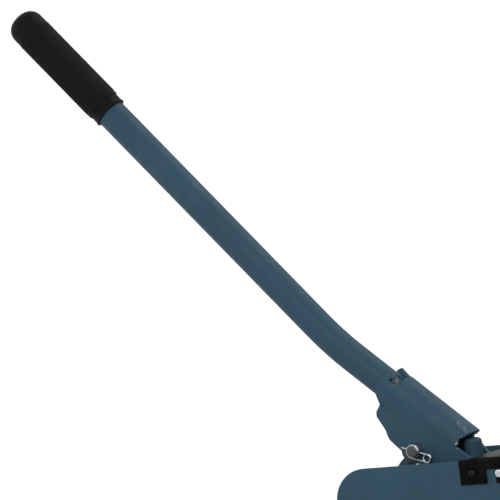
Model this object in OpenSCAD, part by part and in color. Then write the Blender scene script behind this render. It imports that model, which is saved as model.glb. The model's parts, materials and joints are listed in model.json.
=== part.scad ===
// Hydraulic hand pump with a bent lever, a pressed yoke and an oil tank between two side plates.
// Origin: centre of the base plate's underside. +X towards the tank, +Y to the rear plate, +Z up.

/* [Chassis] */
// Length of the side plates and the base plate
body_len = 380; // [360:1:410]
// Width over the outer faces of the side plates
body_w = 145; // [138:1:156]
// Height of the side plates' top edge above the floor
body_h = 190; // [186:1:194]
// Thickness of the side plates
plate_t = 4; // [3:0.5:5]
// Radius of the side plates' upper corners at the lever's end
corner_r = 36; // [20:1:45]
// Radius of the side plates' upper corners under the cover
back_corner_r = 6; // [3:1:12]
// Thickness of the base plate
base_t = 6; // [5:0.5:8]
// How far the base plate stands out past each side plate
base_lip = 24; // [20:1:30]
// Radius of the base plate's corners
base_corner_r = 12; // [6:1:16]
// Diameter of the base plate's bolt holes
mount_hole_d = 11; // [9:0.5:13]
// Distance between the base plate's bolt holes along its length
mount_len = 330; // [310:1:345]

/* [Lever] */
// Place of the fulcrum pin along the pump
fulcrum_x = -50; // [-54:1:-46]
// Height of the fulcrum pin above the floor
fulcrum_h = 173; // [171:1:176]
// Distance from the fulcrum pin back to the piston pin, with the lever up
pin_back = 60; // [57:1:63]
// Height of the piston pin above the fulcrum pin, with the lever up
pin_rise = 28; // [26:1:30]
// Swing of the lever from its upper stop, in degrees
swing = 40; // [36:1:42]
// Slope of the yoke with the lever up, in degrees
tilt = 40.5; // [39:0.5:42]
// Distance of the tube's axis from the fulcrum pin, square to the tube
axis_rise = 14; // [12.5:0.5:15]
// Outer diameter of the handle tube
tube_d = 33.7; // [32:0.1:35]
// Wall of the handle tube
tube_wall = 3.2; // [2.5:0.1:4]
// Straight stretch of tube between the yoke and the bend
lower_len = 46; // [35:1:60]
// Bend of the tube, in degrees
bend_angle = 8; // [5:0.5:11]
// Radius of the bend at the tube's axis
bend_r = 400; // [300:10:500]
// Straight stretch of tube between the bend and the grip
reach = 339; // [300:1:380]
// Length of the tube inside the yoke
tube_in_yoke = 55; // [48:1:58]
// Length of the grip
grip_len = 152; // [130:1:170]
// Wall of the grip
grip_wall = 3.2; // [2.4:0.1:4]
// Length of the grip's narrower neck
grip_neck = 13; // [10:1:18]

/* [Yoke] */
// Wall of the pressed yoke
yoke_wall = 6; // [5:0.5:7]
// Length of the yoke's rounded back
yoke_len = 116; // [112:1:120]
// Distance from the fulcrum pin to the back's lower end, along the yoke
yoke_end = 27; // [26:0.5:29]
// Half angle of the cut-out at the upper end of the back, in degrees
mouth_angle = 58; // [54:1:62]
// Length of that cut-out
mouth_len = 20; // [17:1:22]
// Half angle of the narrower mouth between the two collar claws, in degrees
collar_angle = 44; // [36:1:48]
// Length of the collar claws at the upper end
collar_len = 9; // [6:0.5:11]
// Length of the tongue in the cut-out
tongue_len = 16; // [12:0.5:18]
// How far the tongue is bent up, in degrees
tongue_lift = 10; // [6:0.5:13]
// How far the back's crest reaches past the cheeks at the lower end
web_over = 5; // [3:0.5:6]
// Radius of the cheek round the piston pin
boss_r = 13; // [12:0.5:14]
// Radius of the cheek round the fulcrum pin
ear_r = 15.5; // [14:0.5:16.5]
// Radius of the cheek's lower front lobe
lobe_r = 8.5; // [7:0.5:10]
// Depth of the pressed flank below the tube
flank_depth = 3.4; // [1.5:0.1:3.8]
// Radius of the pressed flank's upper edge
flank_r = 27; // [24:0.5:29]

/* [Pins] */
// Diameter of the piston pin
pin_d = 16; // [14:0.5:17]
// Length of the piston pin outside the front cheek
pin_out = 11; // [10:0.5:13]
// Diameter of the fulcrum pin
fulcrum_d = 14; // [12:0.5:15]
// Wall of the fulcrum bush
bush_wall = 2; // [1.5:0.1:2.5]
// Wire of the R-clip
clip_d = 2; // [1.6:0.1:2.4]
// Radius of the R-clip's loop, at the wire's axis
clip_loop_r = 4.5; // [3.5:0.1:5]
// Slope of the R-clip's straight leg, in degrees
clip_angle = 18.5; // [10:0.5:25]
// Diameter of the fulcrum post
post_d = 20; // [18:0.5:22]
// Offset of the post from the fulcrum pin, towards the piston
post_back = 0.5; // [0.5:0.5:4]

/* [Pump] */
// Diameter of the plunger
plunger_d = 20; // [18:0.5:21]
// Outer diameter of the cylinder liner
liner_d = 32; // [30:0.5:33]
// Width of the pump block's column
block_w = 68; // [66:1:74]
// Height of the pump block's foot
foot_h = 40; // [38:1:44]
// Height of the valve bore above the base plate
valve_rise = 24; // [22:0.5:25]
// Diameter of the valve balls
ball_d = 9; // [8.5:0.1:9.5]
// Height of the gland nut's head
gland_head = 12; // [10:0.5:14]
// Height of the rod seal
seal_h = 7; // [6:0.5:8]
// Diameter of the release knob
knob_d = 36; // [30:1:38]
// Bore of the outlet's thread
port_d = 15; // [14:0.1:16]
// Depth of the outlet's thread
port_len = 16; // [14:0.5:18]

/* [Tank] */
// Distance from the side plates' top edge down to the tank's lid
lid_drop = 29; // [28.5:0.5:38]
// Wall of the tank
tank_wall = 2.5; // [2:0.1:3.5]
// Width of the rim inside the tank's open top
rim_w = 14; // [12:0.5:16]
// Outer diameter of the filler neck
neck_d = 44; // [40:1:46]
// Distance of the filler neck from the pump's right end
neck_inset = 60; // [50:1:75]
// Thickness of the black cover's sheet
cover_t = 2.5; // [2:0.1:3]
// Left edge of the cover's top
cover_x = -19.7; // [-22:0.1:-18]
// How far the cover's side flaps reach past its top
cover_tab = 13; // [8:0.5:14]
// Height of the cover's side flaps
flap_h = 26; // [25:0.5:28]
// Place of the left pair of cover studs
stud_x = 16.4; // [14:0.2:18]
// Distance between the left and right cover studs
stud_pitch = 140; // [120:1:150]

/* [Hidden] */
$fn = 64;
blue = "#384f5e";
black = "#161616";
zinc = "#b9bcbd";
steel = "#8f9496";
brass = "#b08d4a";
iron = "#4a4e50";
rubber = "#1b1b1b";

// Clearances: running fits, side play of the lever, paint gap of sheet, tank between the plates, loose holes
run_fit = 0.05;
ball_seat_gap = 0.05;
side_play = 0.5;
sheet_gap = 0.3;
tank_gap = 0.2;
hole_play = 0.6;
// How far a cut runs past the face that it opens, and chamfer of turned ends
cut = 1;
chamfer = 1;

// Lever geometry with the lever up
pin_x = fulcrum_x - pin_back;
pin_h = fulcrum_h + pin_rise;
arm = norm([pin_back, pin_rise]);
arm_angle = atan2(pin_rise, pin_back);
stroke = arm * (sin(arm_angle) - sin(arm_angle - swing));
side_travel = arm - pin_back;
slot_play = 0.6;
pump_x = pin_x - side_travel / 2;

// Yoke: inner and outer radius, ends along the tube, pins seen along the yoke from its upper end
yoke_in = tube_d / 2 + sheet_gap;
yoke_out = yoke_in + yoke_wall;
yoke_x0 = -yoke_end - yoke_len;
function along_yoke(dx, dz) = [
    dx * cos(tilt) - dz * sin(tilt) - yoke_x0,
    dx * sin(tilt) + dz * cos(tilt) - axis_rise
];
boss_c = along_yoke(-pin_back, pin_rise);
ear_c = along_yoke(0, 0);
// Corners of the cheek below the tube's axis, from the yoke's upper end
skirt = [4.5, -9];
nick = [14, -15];
lobe_c = [23, -15 - lobe_r];
dip = [36, -35.9];
hip_c = [49, -32];
hip_r = 10;
flank_c = [25, -14 - flank_r];
flank_len = 24;
// Round notch under the back's lower end: its centre from the cheek's corner, and its radius
notch_off = [3.4, 8];
notch_r = 5.5;
// Height above the tube's axis where the back's slanted lower end starts
web_low = 12;
// Height of the rear cheek's corner above the front cheek's
rear_rise = 7;
// How far inside their circles the cheek's straight edges run, so that they cross cleanly
ease = 0.05;

// Tangent of two circles on the right-hand side of the way from the first to the second
function tangent(c1, r1, c2, r2) =
    let (
        way = c2 - c1,
        gap = norm(way),
        d = way / gap,
        k = (r1 - r2) / gap,
        m = d * k + [d.y, -d.x] * sqrt(1 - k * k)
    )
    [c1 + m * r1, c2 + m * r2];

// Pins across the yoke
clip_y = -yoke_out - pin_out / 2;
clip_hole_d = clip_d + hole_play;
clip_c = [17, -clip_loop_r];
clip_wrap_r = pin_d / 2 + clip_d / 2 + 3 * run_fit;
clip_tail = 15.5;
clip_pitch = clip_d + 3 * run_fit;
pin_head_d = pin_d + 8;
pin_head_h = 6;
ring_t = 1.2;
ring_w = 3;
ring_groove = 0.8;
ring_edge = 2.2;
ring_mouth = 5;

// Crosshead and plunger
eye_wall = 7;
eye_r = pin_d / 2 + slot_play + eye_wall;
eye_w = 2 * (yoke_in - side_play);
eye_bottom = pin_h - eye_r;
spigot_d = 12;
spigot_h = 5.5;

// Pump block and its bores
foot_top = base_t + foot_h;
gland_gap = 7.3;
block_top = eye_bottom - stroke - gland_gap - gland_head;
gland_thread = 15;
gland_af = 46;
wiper_d = plunger_d + 8;
wiper_h = 5;
seal_z = block_top - gland_thread - seal_h;
valve_z = base_t + valve_rise;
liner_rise = 14;
liner_z = valve_z + liner_rise;
plunger_clear = 1;
plunger_end = liner_z + plunger_clear + stroke;
block_back = 47;
block_ahead = 20;
block_x0 = pump_x - block_back;
block_x1 = fulcrum_x + block_ahead;
foot_w = body_w - 2 * plate_t;
fillet_r = 10;
column_r = 8;
passage_d = 6;
cavity_d = ball_d + 3;

// Suction valve, from the block's right face inwards
union_d = 16;
union_in = 22;
union_bore = 7;
union_hex = 8;
union_af = 22;
pipe_d = 10;
pipe_seat = 4;
pipe_reach = 34;
suction_ball_x = block_x1 - union_in - sqrt(pow(ball_d / 2, 2) - pow(union_bore / 2, 2)) - ball_seat_gap;
suction_cavity = 20;
// Delivery valve, from the pump bore to the left face
delivery_back = 17;
delivery_seat_x = pump_x - delivery_back;
delivery_ball_x = delivery_seat_x - sqrt(pow(ball_d / 2, 2) - pow(passage_d / 2, 2)) - ball_seat_gap;
outlet_d = 20;
outlet_in = 16;
outlet_af = 27;
outlet_hex = 12;
outlet_nose = 14;
washer_t = 1.5;
spring_wire = 0.9;
spring_rings = 8;
spring_sides = 6;
spring_clear = 0.25;
// How far a spring's end reaches over its ball, and its coil inside the ball's radius
spring_over = 1;
spring_inset = 0.6;

// Relief valve on the block's top
relief_back = 26;
relief_x = fulcrum_x - relief_back;
relief_y = -18;
relief_d = 12;
relief_ball_d = 7;
relief_seat_d = 5;
relief_depth = 30;
relief_drill = 12;
relief_screw_h = 14;
relief_screw_in = 10;
relief_af = 19;
relief_cap_top = 9;

// Release valve on the block's left face
release_y = 24;
release_rise = 38;
release_z = valve_z + release_rise;
spindle_d = 8;
spindle_in = 40;
spindle_tip = 3;
release_drill_d = 4;
release_thread = 14;
release_nut_in = 10;
release_af = 19;
release_nut_h = 10;
knob_gap = 2;
knob_h = 14;
knob_roof = 4;
knob_lobes = 8;

// Tank between the side plates
inner_w = body_w - 2 * plate_t;
tank_off = 16;
tank_inset = 6;
tank_x0 = block_x1 + tank_off;
tank_x1 = body_len / 2 - tank_inset;
tank_w = inner_w - 2 * tank_gap;
gasket_t = 2;
lid_t = 3;
lid_top = body_h - lid_drop;
tank_top = lid_top - lid_t - gasket_t;
tank_h = tank_top - base_t;
rim_t = 4;
lid_screw_d = 5;
lid_screw_head = 3;
neck_x = body_len / 2 - neck_inset;
neck_wall = 3;
neck_flange = 10;
flange_t = 3;
neck_out = 12;
neck_top = body_h + neck_out;
cap_wall = 6;
cap_top = 5;
cap_skirt = 12;
cap_seal_t = 2;
cap_clear = 2;
cap_round = 3;
drain_d = 14;
drain_boss = 12;
drain_boss_d = 22;
drain_af = 19;
drain_head = 5;
strainer_d = 22;
strainer_len = 42;
strainer_socket = 10;
strainer_wall = 1.5;
strainer_slot = 2.4;
grommet_wall = 3;
grommet_lip = 2;
return_d = 8;
return_wall = 1.2;
return_seat = 10;
return_reach = 20;

// Cover, studs and bolts
cover_z = body_h + sheet_gap;
cover_y = body_w / 2 + sheet_gap;
bend_out = cover_t + 1.5;
// How far the flaps' tabs rise above the side plates, and how much of the bend they keep inside
tab_rise = 1.5;
tab_inside = 0.2;
stud_d = 9;
stud_drop = 15.5;
stud_z = body_h - stud_drop;
stud_in = 8;
stud_out = 3;
nut_h = 6.5;
slot_gap = 0.6;
slot_entry = 12;
cover_screw_d = 4;
cover_screw_in = 4;
cover_screw_drop = 13.3;
cover_screw_left = 2.9;
cover_screw_right = 14;
recess_w = 0.8;
cover_screw_x = [cover_x + cover_screw_left, body_len / 2 - cover_screw_right];
cover_screw_z = body_h - cover_screw_drop;
bolt_d = 8;
bolt_af = 13;
bolt_head = 5.3;
bolt_in = 14;
bolt_end_gap = 1;
bolt_hole = bolt_d + 1;
bolt_washer = 1.6;
boss_d = 18;
boss_roof = 2;
block_bolt_rise = 14;
block_bolt_inset = 15;
tank_bolt_rise = 34;
tank_bolt_drop = 38;
tank_bolt_left = 34;
tank_bolt_right = 24;
bolt_low = base_t + block_bolt_rise;
tank_bolt_x = [tank_x0 + tank_bolt_left, tank_x1 - tank_bolt_right];
tank_bolt_z = [base_t + tank_bolt_rise, tank_top - tank_bolt_drop];
block_bolt_x = [block_x0 + block_bolt_inset, block_x1 - block_bolt_inset];
bolt_places = [
    for (x = block_bolt_x) [x, bolt_low],
    for (x = tank_bolt_x) for (z = tank_bolt_z) [x, z]
];
base_screw_d = 8;
base_screw_head = 15.5;
base_screw_in = 16;
socket_h = 2.5;
base_screw_gap = 2.5;
base_screw_y = foot_w / 2 - bolt_in - base_screw_d / 2 - base_screw_gap;
base_screw_places = [for (x = block_bolt_x) for (s = [-1, 1]) [x, s * base_screw_y]];

// Shared shapes

module ring(outer, inner, h) {
    difference() {
        cylinder(d = outer, h = h);
        translate([0, 0, -cut]) cylinder(d = inner, h = h + 2 * cut);
    }
}

module hex(af, h) {
    cylinder(d = af / cos(30), h = h, $fn = 6);
}

module rounded_rect(w, d, r) {
    square([w - 2 * r, d], center = true);
    square([w, d - 2 * r], center = true);
    for (x = [-1, 1]) for (y = [-1, 1]) translate([x * (w / 2 - r), y * (d / 2 - r)]) circle(r = r);
}

// Turns a shape made along +Z so that it runs along +X from the given place
module along_x(x, y, z) {
    translate([x, y, z]) rotate([0, 90, 0]) children();
}

// Turns a shape made along +Z so that it runs outwards from a side plate's outer face
module from_side(side, x, z) {
    translate([x, side * body_w / 2, z]) rotate([-side * 90, 0, 0]) children();
}

// Draws an outline of X and Z as a slab from y0 to y1
module slab_xz(y0, y1) {
    translate([0, y1, 0]) rotate([90, 0, 0]) linear_extrude(y1 - y0) children();
}

// Draws an outline of Y and Z as a bar from x0 to x1
module bar_yz(x0, x1) {
    translate([x0, 0, 0]) rotate([90, 0, 90]) linear_extrude(x1 - x0) children();
}

// Lever frame: fulcrum pin at the origin, X down the yoke, Z out of its back
module on_lever() {
    translate([fulcrum_x, 0, fulcrum_h]) rotate([0, tilt, 0]) children();
}

// Yoke frame: tube's axis along X, with the yoke's upper end at the origin
module on_yoke() {
    on_lever() translate([yoke_x0, 0, axis_rise]) children();
}

// Upper tube frame: starts where the bend ends, with the grip towards -X
module on_upper_tube() {
    on_yoke() translate([-lower_len - bend_r * sin(bend_angle), 0, bend_r * (1 - cos(bend_angle))])
        rotate([0, bend_angle, 0]) children();
}

// Skin of a bent wire or rod, through rings of points
module wire(rings) {
    sides = len(rings[0]);
    end = (len(rings) - 1) * sides;
    walls = [
        for (i = [0 : len(rings) - 2]) for (j = [0 : sides - 1])
        let (k = (j + 1) % sides, p = i * sides, q = p + sides)
        each [[p + j, p + k, q + j], [p + k, q + k, q + j]]
    ];
    first = [for (j = [1 : sides - 2]) [0, j + 1, j]];
    last = [for (j = [1 : sides - 2]) [end, end + j, end + j + 1]];
    polyhedron([for (r = rings) each r], concat(first, walls, last));
}

// Skin of a bent tube, through rings of points outside and inside
module hollow(outer, inner) {
    sides = len(outer[0]);
    count = len(outer);
    end = (count - 1) * sides;
    core = count * sides;
    walls = [
        for (i = [0 : count - 2]) for (j = [0 : sides - 1])
        let (k = (j + 1) % sides, p = i * sides, q = p + sides)
        each [
            [p + j, p + k, q + j], [p + k, q + k, q + j],
            [core + p + k, core + p + j, core + q + j], [core + p + k, core + q + j, core + q + k]
        ]
    ];
    faces = [
        for (j = [0 : sides - 1]) let (k = (j + 1) % sides)
        each [
            [k, j, core + j], [k, core + j, core + k],
            [end + j, end + k, core + end + k], [end + j, core + end + k, core + end + j]
        ]
    ];
    polyhedron([for (r = outer) each r, for (r = inner) each r], concat(walls, faces));
}

// Points of an arc in X and Z about c, drifting from y0 to y1
function arc(c, r, a0, a1, steps, y0 = 0, y1 = 0) = [
    for (i = [0 : steps]) let (a = a0 + (a1 - a0) * i / steps)
    [c.x + r * cos(a), y0 + (y1 - y0) * i / steps, c.y + r * sin(a)]
];
// Rings of a round section along a path that nowhere runs along Y
function way(path, i) =
    let (d = path[min(i + 1, len(path) - 1)] - path[max(i - 1, 0)])
    d / norm(d);
function path_rings(path, r, sides) = [
    for (i = [0 : len(path) - 1]) let (
        w = way(path, i),
        across = cross(w, [0, 1, 0]),
        out = across / norm(across),
        over = cross(out, w)
    ) [
        for (j = [0 : sides - 1]) let (b = 360 * j / sides)
        path[i] + r * (cos(b) * out + sin(b) * over)
    ]
];

// Coil spring along +Z, as one unbroken tube
module coil_spring(name, r, length, turns) {
    h = length - spring_wire;
    count = turns * spring_rings;
    climb = atan2(h, turns * 2 * PI * r);
    centres = [
        for (i = [0 : count]) let (a = 360 * i / spring_rings)
        [r * cos(a), r * sin(a), spring_wire / 2 + h * i / count]
    ];
    rings = [
        for (i = [0 : count]) let (
            a = 360 * i / spring_rings,
            out = [cos(a), sin(a), 0],
            up = [sin(a) * sin(climb), -cos(a) * sin(climb), cos(climb)]
        ) [
            for (j = [0 : spring_sides - 1]) let (b = 360 * j / spring_sides)
            centres[i] + spring_wire / 2 * (cos(b) * out + sin(b) * up)
        ]
    ];
    gaps = [
        for (i = [0 : count]) for (j = [i + spring_rings - 2 : 1 : count])
        norm(centres[i] - centres[j]) - spring_wire
    ];
    echo(str(name, ": least gap between curls ", min(gaps), " mm"));
    wire(rings);
}

// Chassis

// Square corner of radius r, less its round, to cut off an outline at the origin
module corner_cut(r) {
    difference() {
        translate([-cut, -r]) square([r + cut, r + cut]);
        translate([r, -r]) circle(r = r);
    }
}

module plate_outline() {
    difference() {
        translate([-body_len / 2, base_t]) square([body_len, body_h - base_t]);
        translate([-body_len / 2, body_h]) corner_cut(corner_r);
        translate([body_len / 2, body_h]) mirror([1, 0]) corner_cut(back_corner_r);
    }
}

module side_plate(side) {
    face = side * body_w / 2;
    difference() {
        slab_xz(min(face, face - side * plate_t), max(face, face - side * plate_t)) plate_outline();
        for (p = bolt_places) from_side(side, p.x, p.y)
            translate([0, 0, -plate_t - cut]) cylinder(d = bolt_hole, h = plate_t + 2 * cut);
        for (i = [0, 1]) from_side(side, stud_x + i * stud_pitch, stud_z)
            translate([0, 0, -plate_t - cut]) cylinder(d = bolt_d, h = plate_t + 2 * cut);
        for (x = cover_screw_x) from_side(side, x, cover_screw_z)
            translate([0, 0, -plate_t - cut]) cylinder(d = cover_screw_d, h = plate_t + 2 * cut);
    }
}

module front_side_plate() {
    color(blue) side_plate(-1);
}

module rear_side_plate() {
    color(blue) side_plate(1);
}

module base_plate() {
    width = body_w + 2 * base_lip;
    color(blue) difference() {
        linear_extrude(base_t) rounded_rect(body_len, width, base_corner_r);
        for (x = [-1, 1]) for (y = [-1, 1])
            translate([x * mount_len / 2, y * (body_w + base_lip) / 2, -cut])
                cylinder(d = mount_hole_d, h = base_t + 2 * cut);
        for (p = base_screw_places) translate([p.x, p.y, 0]) countersunk(base_t + cut);
    }
}

// Countersunk screw with its head flush with the underside
module countersunk(length) {
    head_h = (base_screw_head - base_screw_d) / 2;
    cylinder(d1 = base_screw_head, d2 = base_screw_d, h = head_h);
    cylinder(d = base_screw_d, h = length);
}

module base_screws() {
    color(zinc) for (p = base_screw_places) translate([p.x, p.y, 0]) difference() {
        countersunk(base_t + base_screw_in);
        translate([0, 0, -cut]) hex(base_screw_d / 2, socket_h + cut);
    }
}

module side_bolts() {
    color(zinc) for (side = [-1, 1]) for (p = bolt_places) from_side(side, p.x, p.y) {
        translate([0, 0, bolt_washer]) hex(bolt_af, bolt_head);
        translate([0, 0, bolt_end_gap - plate_t - bolt_in])
            cylinder(d = bolt_d, h = plate_t + bolt_in - bolt_end_gap + bolt_washer);
    }
}

module side_washers() {
    color(zinc) for (side = [-1, 1]) for (p = bolt_places) from_side(side, p.x, p.y)
        ring(bolt_d * 2, bolt_d + hole_play, bolt_washer);
}

// Cover over the tank, hung on studs by bayonet slots

module cover_section() {
    difference() {
        cover_outline(cover_y + cover_t, cover_z + cover_t, bend_out);
        translate([0, -cut]) cover_outline(cover_y, cover_z + cut, bend_out - cover_t);
    }
}

module cover_outline(half, top, r) {
    bottom = body_h - flap_h;
    translate([-half, bottom]) square([2 * half, top - bottom - r]);
    translate([-half + r, bottom]) square([2 * (half - r), top - bottom]);
    for (s = [-1, 1]) translate([s * (half - r), top - r]) circle(r = r);
}

module bayonet_slot() {
    bottom = body_h - flap_h - cut;
    low = stud_z - stud_d / 2 - slot_gap;
    high = stud_z + stud_d / 2 + slot_gap;
    right = stud_d / 2 + slot_gap;
    translate([-right - slot_entry, bottom]) square([slot_entry, high - bottom]);
    translate([-right - slot_entry, low]) square([slot_entry + 2 * right, high - low]);
}

module top_cover() {
    far = cover_y + cover_t + cut;
    near = cover_y - tab_inside;
    tab_x = cover_x - cover_tab - cut;
    color(black) difference() {
        bar_yz(cover_x - cover_tab, body_len / 2) cover_section();
        translate([tab_x, -far, body_h + tab_rise]) cube([cover_tab + cut, 2 * far, cover_t * 3]);
        translate([tab_x, -near, body_h - bend_out]) cube([cover_tab + cut, 2 * near, bend_out * 3]);
        for (i = [0, 1]) translate([stud_x + i * stud_pitch, 0, 0]) slab_xz(-far, far) bayonet_slot();
        for (side = [-1, 1]) for (x = cover_screw_x) from_side(side, x, cover_screw_z)
            translate([0, 0, -cut]) cylinder(d = cover_screw_d + hole_play, h = 3 * cover_t);
        translate([neck_x, 0, body_h]) cylinder(d = neck_d + 2 * (cap_wall + cap_clear), h = 4 * cover_t);
    }
}

module cover_screws() {
    head_d = cover_screw_d * 1.9;
    head_h = cover_screw_d * 0.6;
    color(black) for (side = [-1, 1]) for (x = cover_screw_x) from_side(side, x, cover_screw_z) {
        translate([0, 0, -plate_t - cover_screw_in])
            cylinder(d = cover_screw_d, h = plate_t + cover_screw_in + sheet_gap + cover_t);
        translate([0, 0, sheet_gap + cover_t]) difference() {
            intersection() {
                cylinder(d = head_d, h = head_h);
                translate([0, 0, head_h - head_d]) sphere(r = head_d);
            }
            for (a = [0, 90]) rotate(a) translate([-head_d / 4, -recess_w / 2, head_h / 2])
                cube([head_d / 2, recess_w, head_h]);
        }
    }
}

module cover_studs() {
    out = sheet_gap + cover_t + stud_out;
    color(zinc) for (side = [-1, 1]) for (i = [0, 1]) from_side(side, stud_x + i * stud_pitch, stud_z) {
        translate([0, 0, -plate_t - stud_in]) cylinder(d = bolt_d, h = plate_t + stud_in);
        cylinder(d = stud_d, h = out - chamfer);
        translate([0, 0, out - chamfer]) cylinder(d1 = stud_d, d2 = stud_d - 2 * chamfer, h = chamfer);
    }
}

module stud_nuts() {
    color(zinc) for (side = [-1, 1]) for (i = [0, 1]) from_side(side, stud_x + i * stud_pitch, stud_z)
        translate([0, 0, -plate_t - nut_h]) difference() {
            hex(bolt_af, nut_h);
            translate([0, 0, -cut]) cylinder(d = bolt_d, h = nut_h + 2 * cut);
        }
}

// Tank

module tank_plan(inset) {
    translate([(tank_x0 + tank_x1) / 2, 0])
        square([tank_x1 - tank_x0 - 2 * inset, tank_w - 2 * inset], center = true);
}

module lid_screw_holes(d) {
    length = tank_x1 - tank_x0 - rim_w;
    width = tank_w - rim_w;
    middle = (tank_x0 + tank_x1) / 2;
    for (i = [-1.5 : 1 : 1.5]) for (s = [-1, 1])
        translate([middle + i * length / 3, s * width / 2]) circle(d = d);
    for (s = [-1, 1]) translate([middle + s * length / 2, 0]) circle(d = d);
}

module tank_shell() {
    color(blue) difference() {
        union() {
            translate([0, 0, base_t]) difference() {
                linear_extrude(tank_h) tank_plan(0);
                translate([0, 0, tank_wall]) linear_extrude(tank_h - tank_wall - rim_t) tank_plan(tank_wall);
                translate([0, 0, tank_wall]) linear_extrude(tank_h) tank_plan(rim_w);
            }
            for (side = [-1, 1]) for (x = tank_bolt_x) for (z = tank_bolt_z)
                from_side(side, x, z) translate([0, 0, -plate_t - tank_gap - bolt_in - boss_roof])
                    cylinder(d = boss_d, h = bolt_in + boss_roof);
            along_x(tank_x1 - drain_boss, 0, base_t + drain_d) cylinder(d = drain_boss_d, h = drain_boss);
        }
        for (side = [-1, 1]) for (x = tank_bolt_x) for (z = tank_bolt_z)
            from_side(side, x, z) translate([0, 0, -plate_t - bolt_in])
                cylinder(d = bolt_d, h = bolt_in + plate_t);
        along_x(tank_x1 - drain_boss - cut, 0, base_t + drain_d)
            cylinder(d = drain_d, h = drain_boss + 2 * cut);
        along_x(tank_x0 - cut, 0, valve_z) cylinder(d = pipe_d + 2 * grommet_wall, h = tank_wall + 2 * cut);
        along_x(tank_x0 - cut, release_y, release_z)
            cylinder(d = return_d + 2 * grommet_wall, h = tank_wall + 2 * cut);
        translate([0, 0, tank_top - rim_t - cut]) linear_extrude(rim_t + 2 * cut)
            lid_screw_holes(lid_screw_d);
    }
}

module tank_gasket() {
    color(rubber) translate([0, 0, tank_top]) linear_extrude(gasket_t) difference() {
        tank_plan(0);
        tank_plan(rim_w);
        lid_screw_holes(lid_screw_d + hole_play);
    }
}

module tank_lid() {
    color(blue) translate([0, 0, tank_top + gasket_t]) linear_extrude(lid_t) difference() {
        tank_plan(0);
        lid_screw_holes(lid_screw_d + hole_play);
        translate([neck_x, 0]) circle(d = neck_d);
    }
}

module lid_screws() {
    color(zinc) {
        translate([0, 0, lid_top]) linear_extrude(lid_screw_head) lid_screw_holes(lid_screw_d * 1.8);
        translate([0, 0, tank_top - rim_t]) linear_extrude(lid_top - tank_top + rim_t)
            lid_screw_holes(lid_screw_d);
    }
}

module filler_neck() {
    color(zinc) translate([neck_x, 0, 0]) difference() {
        union() {
            translate([0, 0, lid_top]) cylinder(d = neck_d + 2 * neck_flange, h = flange_t);
            translate([0, 0, tank_top]) cylinder(d = neck_d, h = neck_top - tank_top);
        }
        translate([0, 0, tank_top - cut])
            cylinder(d = neck_d - 2 * neck_wall, h = neck_top - tank_top + 2 * cut);
    }
}

module filler_cap() {
    cap_d = neck_d + 2 * cap_wall;
    top = neck_top + cap_seal_t + cap_top;
    grips = 12;
    grip_d = 6;
    color(rubber) translate([neck_x, 0, 0]) difference() {
        translate([0, 0, neck_top - cap_skirt + cap_seal_t]) rotate_extrude() polygon([
            [0, 0], [cap_d / 2, 0], [cap_d / 2, cap_skirt + cap_top - cap_round],
            [cap_d / 2 - cap_round, cap_skirt + cap_top], [0, cap_skirt + cap_top]
        ]);
        translate([0, 0, neck_top - cap_skirt])
            cylinder(d = neck_d + 2 * sheet_gap, h = cap_skirt + cap_seal_t);
        for (i = [1 : grips]) rotate(i * 360 / grips) translate([cap_d / 2 + grip_d / 4, 0, 0])
            cylinder(d = grip_d, h = top + cut);
    }
}

module filler_seal() {
    color(black) translate([neck_x, 0, neck_top]) ring(neck_d, neck_d - 2 * neck_wall, cap_seal_t);
}

module drain_plug() {
    color(zinc) along_x(0, 0, base_t + drain_d) {
        translate([0, 0, tank_x1 - drain_boss]) cylinder(d = drain_d, h = drain_boss);
        translate([0, 0, tank_x1]) hex(drain_af, drain_head);
    }
}

module grommet(outer, inner) {
    rotate_extrude() difference() {
        translate([inner / 2, -grommet_lip])
            square([grommet_wall + grommet_lip, tank_wall + 2 * grommet_lip]);
        translate([outer / 2, 0]) square([2 * grommet_lip, tank_wall]);
    }
}

module tank_grommets() {
    color(rubber) {
        along_x(tank_x0, 0, valve_z) grommet(pipe_d + 2 * grommet_wall, pipe_d);
        along_x(tank_x0, release_y, release_z) grommet(return_d + 2 * grommet_wall, return_d);
    }
}

module suction_pipe() {
    start = block_x1 - pipe_seat;
    color(steel) along_x(start, 0, valve_z) ring(pipe_d, union_bore, tank_x0 + pipe_reach - start);
}

module suction_strainer() {
    slots = 10;
    inside = strainer_len - strainer_socket - strainer_wall;
    margin = 4;
    color(brass) along_x(tank_x0 + pipe_reach - strainer_socket, 0, valve_z) difference() {
        cylinder(d = strainer_d, h = strainer_len);
        translate([0, 0, -cut]) cylinder(d = pipe_d, h = strainer_socket + cut);
        translate([0, 0, strainer_socket]) cylinder(d = strainer_d - 2 * strainer_wall, h = inside);
        for (i = [1 : slots]) rotate(i * 360 / slots)
            translate([0, -strainer_slot / 2, strainer_socket + margin])
            cube([strainer_d, strainer_slot, inside - 2 * margin]);
    }
}

module return_pipe() {
    start = block_x1 - return_seat;
    color(steel) along_x(start, release_y, release_z)
        ring(return_d, return_d - 2 * return_wall, tank_x0 + return_reach - start);
}

// Pump block, plunger and valves

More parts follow.
